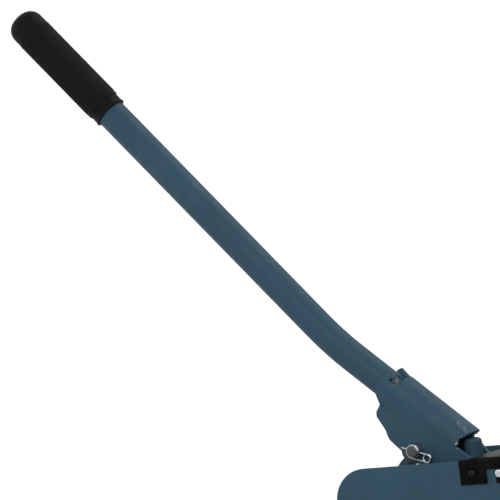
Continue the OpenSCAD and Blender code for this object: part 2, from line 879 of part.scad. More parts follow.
module pump_block() {
    length = block_x1 - block_x0;
    middle = (block_x0 + block_x1) / 2;
    color(iron) difference() {
        union() {
            translate([middle, 0, base_t]) linear_extrude(foot_h) rounded_rect(length, foot_w, 2);
            translate([middle, 0, base_t]) linear_extrude(block_top - base_t)
                rounded_rect(length, block_w, column_r);
            for (s = [-1, 1]) bar_yz(block_x0 + column_r, block_x1 - column_r) difference() {
                translate([s > 0 ? block_w / 2 : -block_w / 2 - fillet_r, foot_top]) square(fillet_r);
                translate([s * (block_w / 2 + fillet_r), foot_top + fillet_r]) circle(r = fillet_r);
            }
        }
        translate([pump_x, 0, liner_z]) cylinder(d = liner_d, h = block_top);
        translate([pump_x, 0, valve_z]) cylinder(d = passage_d + 4, h = liner_z);
        along_x(pump_x, 0, valve_z) cylinder(d = passage_d, h = block_x1 - pump_x);
        along_x(block_x1 - union_in - suction_cavity, 0, valve_z)
            cylinder(d = cavity_d, h = suction_cavity + cut);
        along_x(block_x1 - union_in, 0, valve_z) cylinder(d = union_d, h = union_in + cut);
        along_x(delivery_seat_x - cut, 0, valve_z)
            cylinder(d = passage_d, h = pump_x - delivery_seat_x + cut);
        along_x(block_x0, 0, valve_z) cylinder(d = cavity_d, h = delivery_seat_x - block_x0);
        along_x(block_x0 - cut, 0, valve_z) cylinder(d = outlet_d, h = outlet_in + cut);
        along_x(block_x0 - cut, release_y, release_z)
            cylinder(d = spindle_d + 2 * run_fit, h = spindle_in + cut);
        along_x(block_x0 - cut, release_y, release_z) cylinder(d = release_thread, h = release_nut_in + cut);
        along_x(block_x0, release_y, release_z) cylinder(d = release_drill_d, h = length + cut);
        along_x(block_x1 - return_seat, release_y, release_z) cylinder(d = return_d, h = return_seat + cut);
        translate([relief_x, relief_y, block_top - relief_depth])
            cylinder(d = relief_d, h = relief_depth + cut);
        translate([relief_x, relief_y, block_top - relief_depth - relief_drill])
            cylinder(d = relief_seat_d, h = relief_drill + cut);
        translate([fulcrum_x - post_back, 0, block_top - post_d])
            cylinder(d = post_spigot_d, h = post_d + cut);
        for (side = [-1, 1]) for (x = block_bolt_x) from_side(side, x, bolt_low)
            translate([0, 0, -plate_t - bolt_in]) cylinder(d = bolt_d, h = bolt_in + plate_t);
        for (p = base_screw_places) translate([p.x, p.y, 0])
            cylinder(d = base_screw_d, h = base_t + base_screw_in);
    }
}

module cylinder_liner() {
    color(steel) translate([pump_x, 0, liner_z]) ring(liner_d, plunger_d + 2 * run_fit, seal_z - liner_z);
}

module rod_seal() {
    inner = plunger_d / 2 + run_fit;
    outer = liner_d / 2;
    lip = (outer - inner) / 3;
    color(rubber) translate([pump_x, 0, seal_z]) rotate_extrude() polygon([
        [inner, 0], [inner + lip, 0], [inner + lip * 1.5, seal_h / 2], [outer - lip, 0],
        [outer, 0], [outer, seal_h], [inner, seal_h]
    ]);
}

module gland_nut() {
    color(steel) translate([pump_x, 0, block_top]) difference() {
        union() {
            intersection() {
                hex(gland_af, gland_head);
                cylinder(d1 = gland_af + 2 * gland_head, d2 = gland_af, h = gland_head);
            }
            translate([0, 0, -gland_thread]) cylinder(d = liner_d, h = gland_thread);
        }
        translate([0, 0, -gland_thread - cut])
            cylinder(d = plunger_d + 2 * run_fit, h = gland_thread + gland_head + 2 * cut);
        translate([0, 0, gland_head - wiper_h]) cylinder(d = wiper_d, h = wiper_h + cut);
    }
}

module rod_wiper() {
    inner = plunger_d / 2 + run_fit;
    color(rubber) translate([pump_x, 0, block_top + gland_head - wiper_h]) rotate_extrude() polygon([
        [inner, 0], [wiper_d / 2, 0], [wiper_d / 2, wiper_h], [inner + 1.5, wiper_h],
        [inner + 0.6, wiper_h + 1.5], [inner, wiper_h + 1.5]
    ]);
}

module suction_union() {
    color(steel) along_x(block_x1, 0, valve_z) difference() {
        union() {
            translate([0, 0, -union_in]) cylinder(d = union_d, h = union_in);
            hex(union_af, union_hex);
        }
        translate([0, 0, -union_in - cut]) cylinder(d = union_bore, h = union_in + union_hex + 2 * cut);
        translate([0, 0, -pipe_seat]) cylinder(d = pipe_d, h = union_hex + pipe_seat + cut);
    }
}

module suction_ball() {
    color(zinc) translate([suction_ball_x, 0, valve_z]) sphere(d = ball_d);
}

module suction_spring() {
    start = block_x1 - union_in - suction_cavity + spring_clear;
    length = suction_ball_x - ball_d / 2 + spring_over - start;
    color(zinc) along_x(start, 0, valve_z)
        coil_spring("suction spring", ball_d / 2 - spring_inset, length, 6);
}

module outlet_adaptor() {
    hex_end = outlet_hex + washer_t;
    nose_d = outlet_af - 3;
    color(zinc) along_x(block_x0, 0, valve_z) rotate([180, 0, 0]) difference() {
        union() {
            translate([0, 0, -outlet_in]) cylinder(d = outlet_d, h = outlet_in + washer_t);
            translate([0, 0, washer_t]) hex(outlet_af, outlet_hex);
            translate([0, 0, hex_end]) cylinder(d = nose_d, h = outlet_nose - chamfer);
            translate([0, 0, hex_end + outlet_nose - chamfer])
                cylinder(d1 = nose_d, d2 = nose_d - 2 * chamfer, h = chamfer);
        }
        translate([0, 0, -outlet_in - cut]) cylinder(d = passage_d, h = outlet_in + hex_end + outlet_nose);
        translate([0, 0, hex_end + outlet_nose - port_len]) cylinder(d = port_d, h = port_len + cut);
    }
}

module outlet_washer() {
    color(brass) along_x(block_x0 - washer_t, 0, valve_z) ring(outlet_af, outlet_d, washer_t);
}

module delivery_ball() {
    color(zinc) translate([delivery_ball_x, 0, valve_z]) sphere(d = ball_d);
}

module delivery_spring() {
    start = block_x0 + outlet_in + spring_clear;
    length = delivery_ball_x - ball_d / 2 + spring_over - start;
    color(zinc) along_x(start, 0, valve_z)
        coil_spring("delivery spring", ball_d / 2 - spring_inset, length, 3);
}

module on_relief() {
    translate([relief_x, relief_y, block_top - relief_depth]) children();
}

relief_ball_rise = sqrt(pow(relief_ball_d / 2, 2) - pow(relief_seat_d / 2, 2)) + ball_seat_gap;
relief_spring_low = relief_ball_rise + relief_ball_d / 2 - 0.7;

module relief_ball() {
    color(zinc) on_relief() translate([0, 0, relief_ball_rise]) sphere(d = relief_ball_d);
}

module relief_spring() {
    length = relief_depth - relief_screw_in - relief_spring_low - spring_clear;
    color(zinc) on_relief() translate([0, 0, relief_spring_low])
        coil_spring("relief spring", relief_ball_d / 2 - spring_inset, length, 6);
}

module relief_screw() {
    slot = 1.6;
    color(steel) on_relief() translate([0, 0, relief_depth - relief_screw_in]) difference() {
        cylinder(d = relief_d, h = relief_screw_h);
        translate([-relief_d, -slot / 2, relief_screw_h - slot]) cube([2 * relief_d, slot, slot + cut]);
    }
}

module relief_cap() {
    inside = relief_screw_h - relief_screw_in + cap_clear;
    height = inside + relief_cap_top;
    color(zinc) on_relief() translate([0, 0, relief_depth]) difference() {
        intersection() {
            hex(relief_af, height);
            cylinder(d1 = relief_af + 2 * height, d2 = relief_af - 2 * chamfer, h = height);
        }
        translate([0, 0, -cut]) cylinder(d = relief_d + hole_play, h = inside + cut);
    }
}

module release_nut() {
    color(steel) along_x(block_x0, release_y, release_z) rotate([180, 0, 0]) difference() {
        union() {
            translate([0, 0, -release_nut_in]) cylinder(d = release_thread, h = release_nut_in);
            hex(release_af, release_nut_h);
        }
        translate([0, 0, -release_nut_in - cut])
            cylinder(d = spindle_d + 2 * run_fit, h = release_nut_in + release_nut_h + 2 * cut);
    }
}

knob_out = release_nut_h + knob_gap;

module release_spindle() {
    end = knob_out + knob_h - knob_roof;
    color(steel) along_x(block_x0, release_y, release_z) rotate([180, 0, 0]) {
        translate([0, 0, spindle_tip - spindle_in])
            cylinder(d = spindle_d, h = spindle_in - spindle_tip + end);
        translate([0, 0, ball_seat_gap - spindle_in])
            cylinder(d1 = spindle_d / 4, d2 = spindle_d, h = spindle_tip - ball_seat_gap);
    }
}

module release_knob() {
    color(rubber) along_x(block_x0, release_y, release_z) rotate([180, 0, 0]) translate([0, 0, knob_out])
        difference() {
            rotate_extrude() polygon([
                [0, 0], [knob_d / 2 - 4, 0], [knob_d / 2, 3], [knob_d / 2, knob_h - 2],
                [knob_d / 2 - 2, knob_h], [0, knob_h]
            ]);
            translate([0, 0, -cut]) cylinder(d = spindle_d, h = knob_h - knob_roof + cut);
            for (i = [1 : knob_lobes]) rotate(i * 360 / knob_lobes)
                translate([knob_d / 2 + knob_d / 18, 0, -cut])
                cylinder(d = knob_d / 4, h = knob_h + 2 * cut);
        }
}

// Lever, fulcrum and piston pin

// Crown of the post, turned about the fulcrum so that the yoke's back passes over it
crown_gap = 4;
crown_r = norm([yoke_end, axis_rise + sqrt(pow(yoke_in, 2) - pow(post_d / 2, 2))]) - crown_gap;
post_foot = post_d - 1;
post_spigot_d = post_d - 4;
hub_wall = 6;
hub_r = fulcrum_d / 2 + bush_wall + hub_wall;

module fulcrum_post() {
    x = fulcrum_x - post_back;
    top = fulcrum_h + crown_r;
    rim = 4.5;
    color(blue) difference() {
        union() {
            intersection() {
                translate([x, 0, 0]) rotate_extrude() {
                    translate([0, block_top]) square([post_d / 2, top - block_top - rim]);
                    translate([0, block_top]) square([post_d / 2 - rim, top - block_top]);
                    translate([post_d / 2 - rim, top - rim]) circle(r = rim);
                }
                translate([fulcrum_x, -post_d, fulcrum_h]) union() {
                    rotate([-90, 0, 0]) cylinder(r = crown_r, h = 2 * post_d);
                    translate([-post_d * 2, 0, block_top - fulcrum_h - cut])
                        cube([post_d * 4, 2 * post_d, fulcrum_h - block_top]);
                }
            }
            translate([x, 0, block_top - post_foot]) cylinder(d = post_spigot_d, h = post_foot + cut);
            translate([fulcrum_x, -eye_w / 2, fulcrum_h]) rotate([-90, 0, 0]) cylinder(r = hub_r, h = eye_w);
        }
        translate([fulcrum_x, -eye_w, fulcrum_h]) rotate([-90, 0, 0])
            cylinder(d = fulcrum_d + 2 * bush_wall, h = 2 * eye_w);
    }
}

module fulcrum_bush() {
    color(brass) translate([fulcrum_x, -eye_w / 2, fulcrum_h]) rotate([-90, 0, 0])
        ring(fulcrum_d + 2 * bush_wall, fulcrum_d + 2 * run_fit, eye_w);
}

ring_y = yoke_out + sheet_gap;
fulcrum_half = ring_y + ring_t + ring_edge;

module fulcrum_pin() {
    color(zinc) translate([fulcrum_x, -fulcrum_half, fulcrum_h]) rotate([-90, 0, 0]) difference() {
        union() {
            cylinder(d1 = fulcrum_d - 2 * chamfer, d2 = fulcrum_d, h = chamfer);
            translate([0, 0, chamfer]) cylinder(d = fulcrum_d, h = 2 * (fulcrum_half - chamfer));
            translate([0, 0, 2 * fulcrum_half - chamfer])
                cylinder(d1 = fulcrum_d, d2 = fulcrum_d - 2 * chamfer, h = chamfer);
        }
        for (z = [ring_edge, 2 * fulcrum_half - ring_edge - ring_t]) translate([0, 0, z])
            ring(fulcrum_d + 2 * cut, fulcrum_d - 2 * ring_groove, ring_t);
    }
}

module fulcrum_circlips() {
    color(steel) for (side = [-1, 1]) translate([fulcrum_x, side * (ring_y + ring_t / 2), fulcrum_h])
        rotate([90, 0, 0]) translate([0, 0, -ring_t / 2]) difference() {
            ring(fulcrum_d - 2 * ring_groove + 2 * ring_w, fulcrum_d - 2 * ring_groove, ring_t);
            translate([-ring_mouth / 2, 0, -cut]) cube([ring_mouth, fulcrum_d, ring_t + 2 * cut]);
        }
}

module cheek_outline(rise) {
    corner = [yoke_len, 0];
    brow = tangent(ear_c, ear_r - ease, corner + [0, rise], 0);
    front = tangent(nick, 0, lobe_c, lobe_r - ease);
    low = tangent(lobe_c, lobe_r - ease, dip, 0);
    drop = tangent(dip, 0, hip_c, hip_r - ease);
    belly = tangent(hip_c, hip_r - ease, boss_c, boss_r - ease);
    under = tangent(boss_c, boss_r - ease, ear_c, ear_r - ease);
    back = tangent(ear_c, ear_r - ease, corner, 0);
    polygon(concat(
        [[0, 0], skirt, nick, front[1], low[0], dip, drop[1], belly[0], belly[1]],
        [under[0], under[1], back[0], corner]
    ));
    if (rise > 0) polygon([ear_c, brow[0], brow[1], corner - [rise, 0]]);
    translate(lobe_c) circle(r = lobe_r);
    translate(hip_c) circle(r = hip_r);
    translate(boss_c) circle(r = boss_r);
    translate(ear_c) circle(r = ear_r);
}

module back_section() {
    intersection() {
        difference() {
            circle(r = yoke_out);
            circle(r = yoke_in);
        }
        translate([-yoke_out - cut, 0]) square([2 * (yoke_out + cut), yoke_out + cut]);
    }
}

// Sector of the back's section, from the axis outwards, to each side of the crest
module crest_sector(half) {
    far = 2 * yoke_out;
    polygon([[0, 0], [far * sin(half), far * cos(half)], [far * sin(half), far], [-far * sin(half), far],
        [-far * sin(half), far * cos(half)]]);
}

module tongue() {
    root = mouth_len + 2;
    tip = root - tongue_len;
    tongue_angle = 7;
    tip_run = 5;
    tip_rise = 3.5;
    translate([root, 0, yoke_in]) rotate([0, tongue_lift, 0]) translate([-root, 0, -yoke_in]) difference() {
        bar_yz(tip, root) intersection() {
            back_section();
            crest_sector(tongue_angle);
        }
        slab_xz(-yoke_out, yoke_out) polygon([
            [tip - cut, 0], [tip + tip_run, 0], [tip + tip_run, yoke_in - cut], [tip - cut, yoke_in + tip_rise]
        ]);
    }
}

// Pressed flank under the tube, running out towards the piston pin
module flank_cut(side) {
    lean = atan2(flank_depth, flank_len);
    run_out = flank_c.x + flank_len * 0.7;
    translate([run_out, side * yoke_out, flank_c.y]) rotate([0, 0, side * lean])
        translate([flank_c.x - run_out, 0, 0]) rotate([-side * 90, 0, 0])
            cylinder(r = flank_r, h = yoke_wall * 2);
}

module lever_yoke() {
    reach_y = yoke_out + cut;
    color(blue) on_yoke() difference() {
        union() {
            difference() {
                bar_yz(0, yoke_len + web_over) back_section();
                bar_yz(-cut, mouth_len) crest_sector(collar_angle);
                bar_yz(collar_len, mouth_len) crest_sector(mouth_angle);
                slab_xz(-reach_y, reach_y) polygon([
                    [yoke_len, -cut], [yoke_len, web_low], [yoke_len + web_over, yoke_out],
                    [yoke_len + 2 * web_over, yoke_out], [yoke_len + 2 * web_over, -cut]
                ]);
            }
            tongue();
            for (side = [-1, 1]) slab_xz(side > 0 ? yoke_in : -yoke_out, side > 0 ? yoke_out : -yoke_in)
                cheek_outline(side > 0 ? rear_rise : 0);
        }
        for (side = [-1, 1]) flank_cut(side);
        slab_xz(-reach_y, reach_y) {
            translate([yoke_len, 0] + notch_off) circle(r = notch_r);
            translate(boss_c) circle(d = pin_d + 2 * run_fit);
            translate(ear_c) circle(d = fulcrum_d);
        }
    }
}

grip_tip = 9;
tube_upper = reach + grip_len - grip_tip;
bend_steps = 8;
tube_sides = 48;

// Axis of the tube in the yoke frame, from its lower end through the bend to the grip's end
tube_path = concat(
    [[tube_in_yoke, 0, 0]],
    arc([-lower_len, bend_r], bend_r, -90, -90 - bend_angle, bend_steps),
    [[-lower_len, 0, bend_r] - bend_r * [sin(bend_angle), 0, cos(bend_angle)]
        + tube_upper * [-cos(bend_angle), 0, sin(bend_angle)]]
);

module handle_tube() {
    color(blue) on_yoke() hollow(
        path_rings(tube_path, tube_d / 2, tube_sides),
        path_rings(tube_path, tube_d / 2 - tube_wall, tube_sides)
    );
}

module handle_grip() {
    inner = tube_d / 2;
    neck = inner + grip_wall - 1.2;
    outer = inner + grip_wall;
    tip_r = outer - 5;
    color(rubber) on_upper_tube() translate([-reach, 0, 0]) rotate([0, -90, 0]) difference() {
        rotate_extrude() {
            polygon([
                [0, 0], [neck + 0.5, 0], [neck + 0.5, 1.6], [neck, 2.8], [neck, grip_neck - 1.5],
                [outer, grip_neck], [outer, grip_len - tip_r], [outer - tip_r, grip_len], [0, grip_len]
            ]);
            intersection() {
                translate([outer - tip_r, grip_len - tip_r]) circle(r = tip_r);
                square([outer + cut, grip_len + cut]);
            }
        }
        translate([0, 0, -cut]) cylinder(r = inner, h = grip_len - grip_tip + cut);
    }
}

module piston_pin() {
    tip = 1.6;
    length = 2 * yoke_out + pin_out + sheet_gap;
    color(zinc) translate([pin_x, -yoke_out - pin_out, pin_h]) difference() {
        rotate([-90, 0, 0]) {
            cylinder(d1 = pin_d - 2 * tip, d2 = pin_d, h = tip);
            translate([0, 0, tip]) cylinder(d = pin_d, h = length - tip);
            translate([0, 0, length]) cylinder(d = pin_head_d, h = pin_head_h);
        }
        translate([0, clip_y + yoke_out + pin_out, 0]) rotate([0, 90 + clip_angle, 0])
            cylinder(d = clip_hole_d, h = 2 * pin_d, center = true);
    }
}

module r_clip() {
    line = tangent([0, 0], clip_wrap_r, clip_c, clip_loop_r);
    down = atan2(line[0].y, line[0].x);
    wrap = 75;
    coil = 90 - down + 360;
    drift = clip_pitch * coil / 360;
    path = concat(
        [[-clip_tail, 0, 0]],
        arc(clip_c, clip_loop_r, 90, 90 - coil, 44, 0, drift),
        arc([0, 0], clip_wrap_r, down, down - wrap, 8, drift, drift)
    );
    color(zinc) translate([pin_x, clip_y, pin_h]) rotate([0, clip_angle, 0])
        wire(path_rings(path, clip_d / 2, 10));
}

// Crosshead with a level slot that takes up the pin's sideways travel

module slot_outline(r) {
    for (s = [-1, 1]) translate([s * side_travel / 2, 0]) circle(r = r);
    square([side_travel, 2 * r], center = true);
}

module piston_crosshead() {
    foot = plunger_d * 1.4;
    color(steel) translate([pump_x, 0, pin_h]) difference() {
        slab_xz(-eye_w / 2, eye_w / 2) difference() {
            union() {
                slot_outline(eye_r);
                translate([-foot / 2, -eye_r]) square([foot, eye_r]);
            }
            slot_outline(pin_d / 2 + slot_play);
        }
        translate([0, 0, -eye_r - cut]) cylinder(d = spigot_d, h = spigot_h + cut + sheet_gap);
    }
}

module piston_plunger() {
    color(zinc) translate([pump_x, 0, 0]) {
        translate([0, 0, plunger_end]) cylinder(d1 = plunger_d - 2 * chamfer, d2 = plunger_d, h = chamfer);
        translate([0, 0, plunger_end + chamfer])
            cylinder(d = plunger_d, h = eye_bottom - plunger_end - chamfer);
        translate([0, 0, eye_bottom]) cylinder(d = spigot_d, h = spigot_h);
    }
}

front_side_plate();
rear_side_plate();
base_plate();
base_screws();
side_bolts();
side_washers();
top_cover();
cover_screws();
cover_studs();
stud_nuts();
tank_shell();
tank_gasket();
tank_lid();
lid_screws();
filler_neck();
filler_cap();
filler_seal();
drain_plug();
tank_grommets();
suction_pipe();
suction_strainer();
return_pipe();
pump_block();
cylinder_liner();
rod_seal();
gland_nut();
rod_wiper();
suction_union();
suction_ball();
suction_spring();
outlet_adaptor();
outlet_washer();
delivery_ball();
delivery_spring();
relief_ball();
relief_spring();
relief_screw();
relief_cap();
release_nut();
release_spindle();
release_knob();
fulcrum_post();
fulcrum_bush();
fulcrum_pin();
fulcrum_circlips();
lever_yoke();
handle_tube();
handle_grip();
piston_pin();
r_clip();
piston_crosshead();
piston_plunger();
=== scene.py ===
"""Looks of a hydraulic hand pump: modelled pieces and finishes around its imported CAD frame."""

import json
from math import atan2, cos, hypot, pi, radians, sin, sqrt, tau

import bmesh
import bpy
from mathutils import Matrix, Vector


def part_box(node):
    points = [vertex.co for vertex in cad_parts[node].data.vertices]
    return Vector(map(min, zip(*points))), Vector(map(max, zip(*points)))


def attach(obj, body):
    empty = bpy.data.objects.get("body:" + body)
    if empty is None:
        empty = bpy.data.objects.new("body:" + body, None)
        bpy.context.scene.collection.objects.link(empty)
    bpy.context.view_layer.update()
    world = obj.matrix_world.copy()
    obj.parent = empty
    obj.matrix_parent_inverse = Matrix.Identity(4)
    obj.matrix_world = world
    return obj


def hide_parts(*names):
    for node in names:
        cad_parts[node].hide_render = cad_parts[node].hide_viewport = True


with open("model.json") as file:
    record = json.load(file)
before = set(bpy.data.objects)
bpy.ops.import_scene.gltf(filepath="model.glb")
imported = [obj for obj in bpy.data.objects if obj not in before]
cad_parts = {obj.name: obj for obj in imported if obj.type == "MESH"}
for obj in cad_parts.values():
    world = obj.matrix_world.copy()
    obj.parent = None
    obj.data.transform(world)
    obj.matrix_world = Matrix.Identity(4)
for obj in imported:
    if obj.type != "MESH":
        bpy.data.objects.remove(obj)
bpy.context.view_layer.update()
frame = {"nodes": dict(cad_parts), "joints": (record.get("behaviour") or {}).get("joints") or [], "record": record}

bl_info = {
    "name": "Hydraulic Hand Pump",
    "version": (1, 0, 0),
    "blender": (4, 5, 0),
    "location": "View3D > Sidebar > Hand Pump",
    "description": "Modelled pieces and painted finishes around the CAD frame of a lever pump",
    "category": "Object",
}

MM = 0.001
FRONT, REAR = -1, 1
SIDES = 64
# Distance at which doubles merge, and the most that a piece may stray from its CAD nodes
WELD = 1e-6
STRAY = 2.5 * MM
SLOTS = {row["node"]: row["material_slot"] for row in frame["record"]["subparts"]}

# Places that the CAD model fixes: fulcrum, piston pin, yoke along the tube, notch in it, body and cover
FULCRUM = Vector(next(row["pos_m"] for row in frame["joints"] if row["name"] == "lever_swing"))
PIN = FULCRUM + Vector((-60, 0, 28)) * MM
PIN_R = 8 * MM
PIN_OUT = 11 * MM
TILT = radians(40.5)
BEND = radians(8)
YOKE_HALF = 23.15 * MM
YOKE_TOP = (-143 * MM, 0, 14 * MM)
ON_YOKE = Matrix.Translation(FULCRUM) @ Matrix.Rotation(TILT, 4, "Y") @ Matrix.Translation(YOKE_TOP)
GRIP_TIP = 9 * MM
NOTCH = Vector((119.4, 0, 7.4)) * MM
NOTCH_WIDE, NOTCH_HIGH = 6.05 * MM, 7.2 * MM
BODY_HALF = 72.5 * MM
BODY_END = 190 * MM
BODY_TOP = 190 * MM
PLATE = 4 * MM
BASE_TOP = 6 * MM
COVER_LEFT = -19.7 * MM
COVER_TAB = 13 * MM
FLAP = 26 * MM
SHEET_GAP = 0.3 * MM


def linear(red, green, blue):
    """A colour given in 8-bit display values, as the linear values that shaders use."""
    return tuple(
        (v / 255 / 12.92) if v <= 10 else ((v / 255 + 0.055) / 1.055) ** 2.4 for v in (red, green, blue)
    )


def size(name, default, text):
    """A length that a user may change, its default in millimetres."""
    return bpy.props.FloatProperty(
        name=name, description=text, default=default * MM, min=0, subtype="DISTANCE", unit="LENGTH"
    )


def share(name, default, text):
    """A number from 0 to 1 that a user may change."""
    return bpy.props.FloatProperty(
        name=name, description=text, default=default, min=0, max=1, subtype="FACTOR"
    )


def power(name, default, text):
    """A lamp's power that a user may change, in watts."""
    return bpy.props.FloatProperty(name=name, description=text, default=default, min=0)


def tint(name, default, text):
    """A colour that a user may change."""
    return bpy.props.FloatVectorProperty(
        name=name, description=text, default=default, min=0, max=1, size=3, subtype="COLOR"
    )


class PumpFinish(bpy.types.PropertyGroup):
    """Colours and gloss of the pump's finishes."""

    blue: tint("Blue paint", linear(48, 74, 89), "Satin paint of the chassis and the lever")
    blue_rough: share("Paint roughness", 0.46, "Roughness of the blue paint")
    black: tint("Black paint", linear(8, 8, 8), "Paint of the cover")
    black_rough: share("Cover roughness", 0.4, "Roughness of the cover's paint")
    zinc: tint("Zinc", linear(180, 183, 186), "Zinc plate of pins, bolts and studs")
    steel: tint("Steel", linear(176, 178, 180), "Ground steel of the plunger and fittings")
    # Painted shade: the crosshead's steel is made dark to stand for the shade that falls on it between the yoke's
    # cheeks under the pin
    oiled: tint("Oiled steel", linear(66, 74, 80), "Dark steel of the crosshead under its film of oil")
    blacked: tint("Blackened steel", linear(34, 34, 36), "Cover screws")
    pin_face: tint("Pin face", linear(75, 75, 74), "Sawn end of the piston pin")
    iron: tint("Cast iron", linear(78, 82, 84), "Pump block")
    bronze: tint("Bronze", linear(176, 142, 82), "Bush, strainer and sealing washer")
    rubber: tint("Rubber", linear(13, 13, 13), "Grip and seals")
    plastic: tint("Plastic", linear(16, 16, 17), "Filler cap and release knob")


class PumpLever(bpy.types.PropertyGroup):
    """Sizes of the lever, its grip and the pins."""

    tube_d: size("Tube", 33.7, "Outer diameter of the handle tube")
    tube_wall: size("Tube wall", 3.2, "Wall of the handle tube")
    bend_r: size("Bend radius", 400, "Radius of the tube's bend at its axis")
    lower: size("Lower stretch", 46, "Straight tube between the yoke and the bend")
    inside: size("Inside the yoke", 55, "Tube inside the yoke")
    reach: size("Reach", 339, "Straight tube between the bend and the grip")
    grip_len: size("Grip", 152, "Length of the grip")
    grip_wall: size("Grip wall", 3.2, "Wall of the grip")
    ribs: bpy.props.IntProperty(
        name="Ribs", description="Fine ribs along the grip", default=64, min=16, max=96
    )
    rib_h: size("Rib height", 0.34, "Height of the grip's ribs")
    press: size("Press softness", 0.6, "Grain at which the pressed yoke's edges are rounded")
    clip_wire: size("Clip wire", 2, "Diameter of the spring clip's wire")
    clip_loop: size("Clip loop", 4.5, "Radius of the spring clip's coil")


class PumpChassis(bpy.types.PropertyGroup):
    """Sizes of the sheet metal and its fasteners."""

    corner: size("Corner", 36, "Radius of the side plates' corner at the lever's end")
    back_corner: size("Back corner", 6, "Radius of the side plates' corner under the cover")
    edge: size("Edge", 0.7, "Rounding of the plates' edges")
    cover_t: size("Cover sheet", 2.5, "Thickness of the cover")
    cover_bend: size("Cover bend", 4, "Outer radius of the cover's bends")
    bolt_af: size("Bolt head", 13, "Width across the flats of the side bolts")
    cast_grain: size("Cast softness", 1.1, "Grain at which the cast block's edges are rounded")


class PumpStage(bpy.types.PropertyGroup):
    """Camera, light and floor."""

    distance: size("Camera distance", 25000, "Distance of the camera from the picture's middle")
    span: size("Span", 553.5, "Width of the picture at that distance")
    key: power("Key light", 62, "Power of the front lamp in watts")
    fill: power("Fill light", 26, "Power of the side lamp in watts")
    top: power("Top light", 46, "Power of the upper lamp in watts")
    ambient: share("Ambient", 0.42, "Light from all round")
    floor: tint("Floor", (0.62, 0.62, 0.62), "Pale floor")


# Shaders


class Wire:
    """A socket of a shader tree; sums on it add Math nodes."""

    def __init__(self, shader, socket):
        self.shader = shader
        self.socket = socket

    def math(self, operation, first, second):
        return self.shader.node("Math", {0: first, 1: second}, operation=operation)

    def __add__(self, other):
        return self.math("ADD", self, other)

    def __sub__(self, other):
        return self.math("SUBTRACT", self, other)

    def __rsub__(self, other):
        return self.math("SUBTRACT", other, self)

    def __mul__(self, other):
        return self.math("MULTIPLY", self, other)

    __radd__ = __add__


class Shader:
    """A node tree that is being wired."""

    def __init__(self, owner):
        owner.use_nodes = True
        self.owner = owner
        self.tree = owner.node_tree
        self.tree.nodes.clear()

    def node(self, kind, sockets=None, out=0, **settings):
        """Adds a node, sets its settings first and then its sockets, and gives one of its outputs."""
        made = self.tree.nodes.new("ShaderNode" + kind)
        for key, value in settings.items():
            setattr(made, key, value)
        for key, value in (sockets or {}).items():
            socket = made.inputs[key]
            if isinstance(value, Wire):
                self.tree.links.new(value.socket, socket)
            elif socket.type == "RGBA" and len(value) == 3:
                socket.default_value = (*value, 1)
            else:
                socket.default_value = value
        return Wire(self, made.outputs[out]) if made.outputs else made

    def here(self):
        """Object coordinates."""
        return self.node("TexCoord", out="Object")

    def place(self, scale, turn=(0, 0, 0)):
        """Object coordinates, stretched and turned."""
        return self.node("Mapping", {"Vector": self.here(), "Scale": scale, "Rotation": turn})

    def noise(self, scale, detail=2, rough=0.5, where=None):
        """Grey noise; scale is in grains a metre."""
        grains = {"Vector": where or self.here(), "Scale": scale, "Detail": detail, "Roughness": rough}
        return self.node("TexNoise", grains)

    def ramp(self, value, start, end):
        """Rises from zero to one as a value goes from its start to its end."""
        return self.node("MapRange", {"Value": value, "From Min": start, "From Max": end})

    def blend(self, mask, first, second):
        """Mixes two colours."""
        return self.node("Mix", {0: mask, 6: first, 7: second}, 2, data_type="RGBA")

    def bump(self, height, depth, strength=1.0):
        return self.node("Bump", {"Height": height, "Distance": depth, "Strength": strength})

    def far(self, where):
        """Distance of a place from the origin."""
        return self.node("VectorMath", {0: where}, "Value", operation="LENGTH")

    def seen(self):
        """One for rays that the camera, a mirror or glass sees, and zero for light."""
        mask = self.node("LightPath", out="Is Camera Ray")
        for kind in ("Glossy", "Transmission"):
            mask = mask.math("MAXIMUM", mask, self.node("LightPath", out=f"Is {kind} Ray"))
        return mask

    def notch(self, ragged):
        """One on the edge of the yoke's notch, with a ragged border, and zero elsewhere."""
        there = (ON_YOKE @ Matrix.Translation(NOTCH)).inverted()
        turn, place = tuple(there.to_euler()), there.to_translation()
        flat = {"Vector": self.here(), "Location": place, "Rotation": turn}
        oval = {"Vector": self.node("Mapping", flat), "Scale": (1 / NOTCH_WIDE, 0, 1 / NOTCH_HIGH)}
        border = self.far(self.node("Mapping", oval)) + ragged * 0.5
        return self.ramp(border, 1.3, 1.2)

    def surface(self, **sockets):
        """Closes a material's tree with a Principled shader and gives the material."""
        named = {key.replace("_", " ").title().replace("Ior", "IOR"): sockets[key] for key in sockets}
        self.node("OutputMaterial", {"Surface": self.node("BsdfPrincipled", named)})
        return self.owner


def new_shader(name):
    """Empty tree of a new material."""
    return Shader(bpy.data.materials.new(name))


def shade(colour, factor):
    """A colour made darker or lighter."""
    return tuple(min(1, v * factor) for v in colour)


def paint(name, colour, rough, gloss, peel, metal=None):
    """Sprayed paint: faint clouds of tone, orange peel and a few rubbed patches.

    Where a metal is given, the paint is worn off the notch's edge down to it.
    """
    s = new_shader(name)
    cloud = s.noise(14, 3, 0.6)
    fleck = s.noise(320, 2)
    tone = s.blend(s.ramp(cloud, 0.3, 0.7), shade(colour, 0.93), shade(colour, 1.07))
    tone = s.blend(s.ramp(fleck, 0.62, 0.78) * 0.35, tone, shade(colour, 1.25))
    rubbed = s.ramp(s.noise(46, 4, 0.7), 0.5, 0.8)
    skin = s.bump(s.noise(620, 1), peel)
    bare = 0.0
    if metal:
        bare = s.notch(s.noise(700, 3, 0.6))
        tone = s.blend(bare, tone, metal)
    return s.surface(
        base_color=tone,
        metallic=bare,
        roughness=rough - rubbed * 0.1 + fleck * 0.06,
        normal=skin,
        specular_ior_level=gloss,
        coat_weight=rubbed * 0.12,
        coat_roughness=0.3,
    )


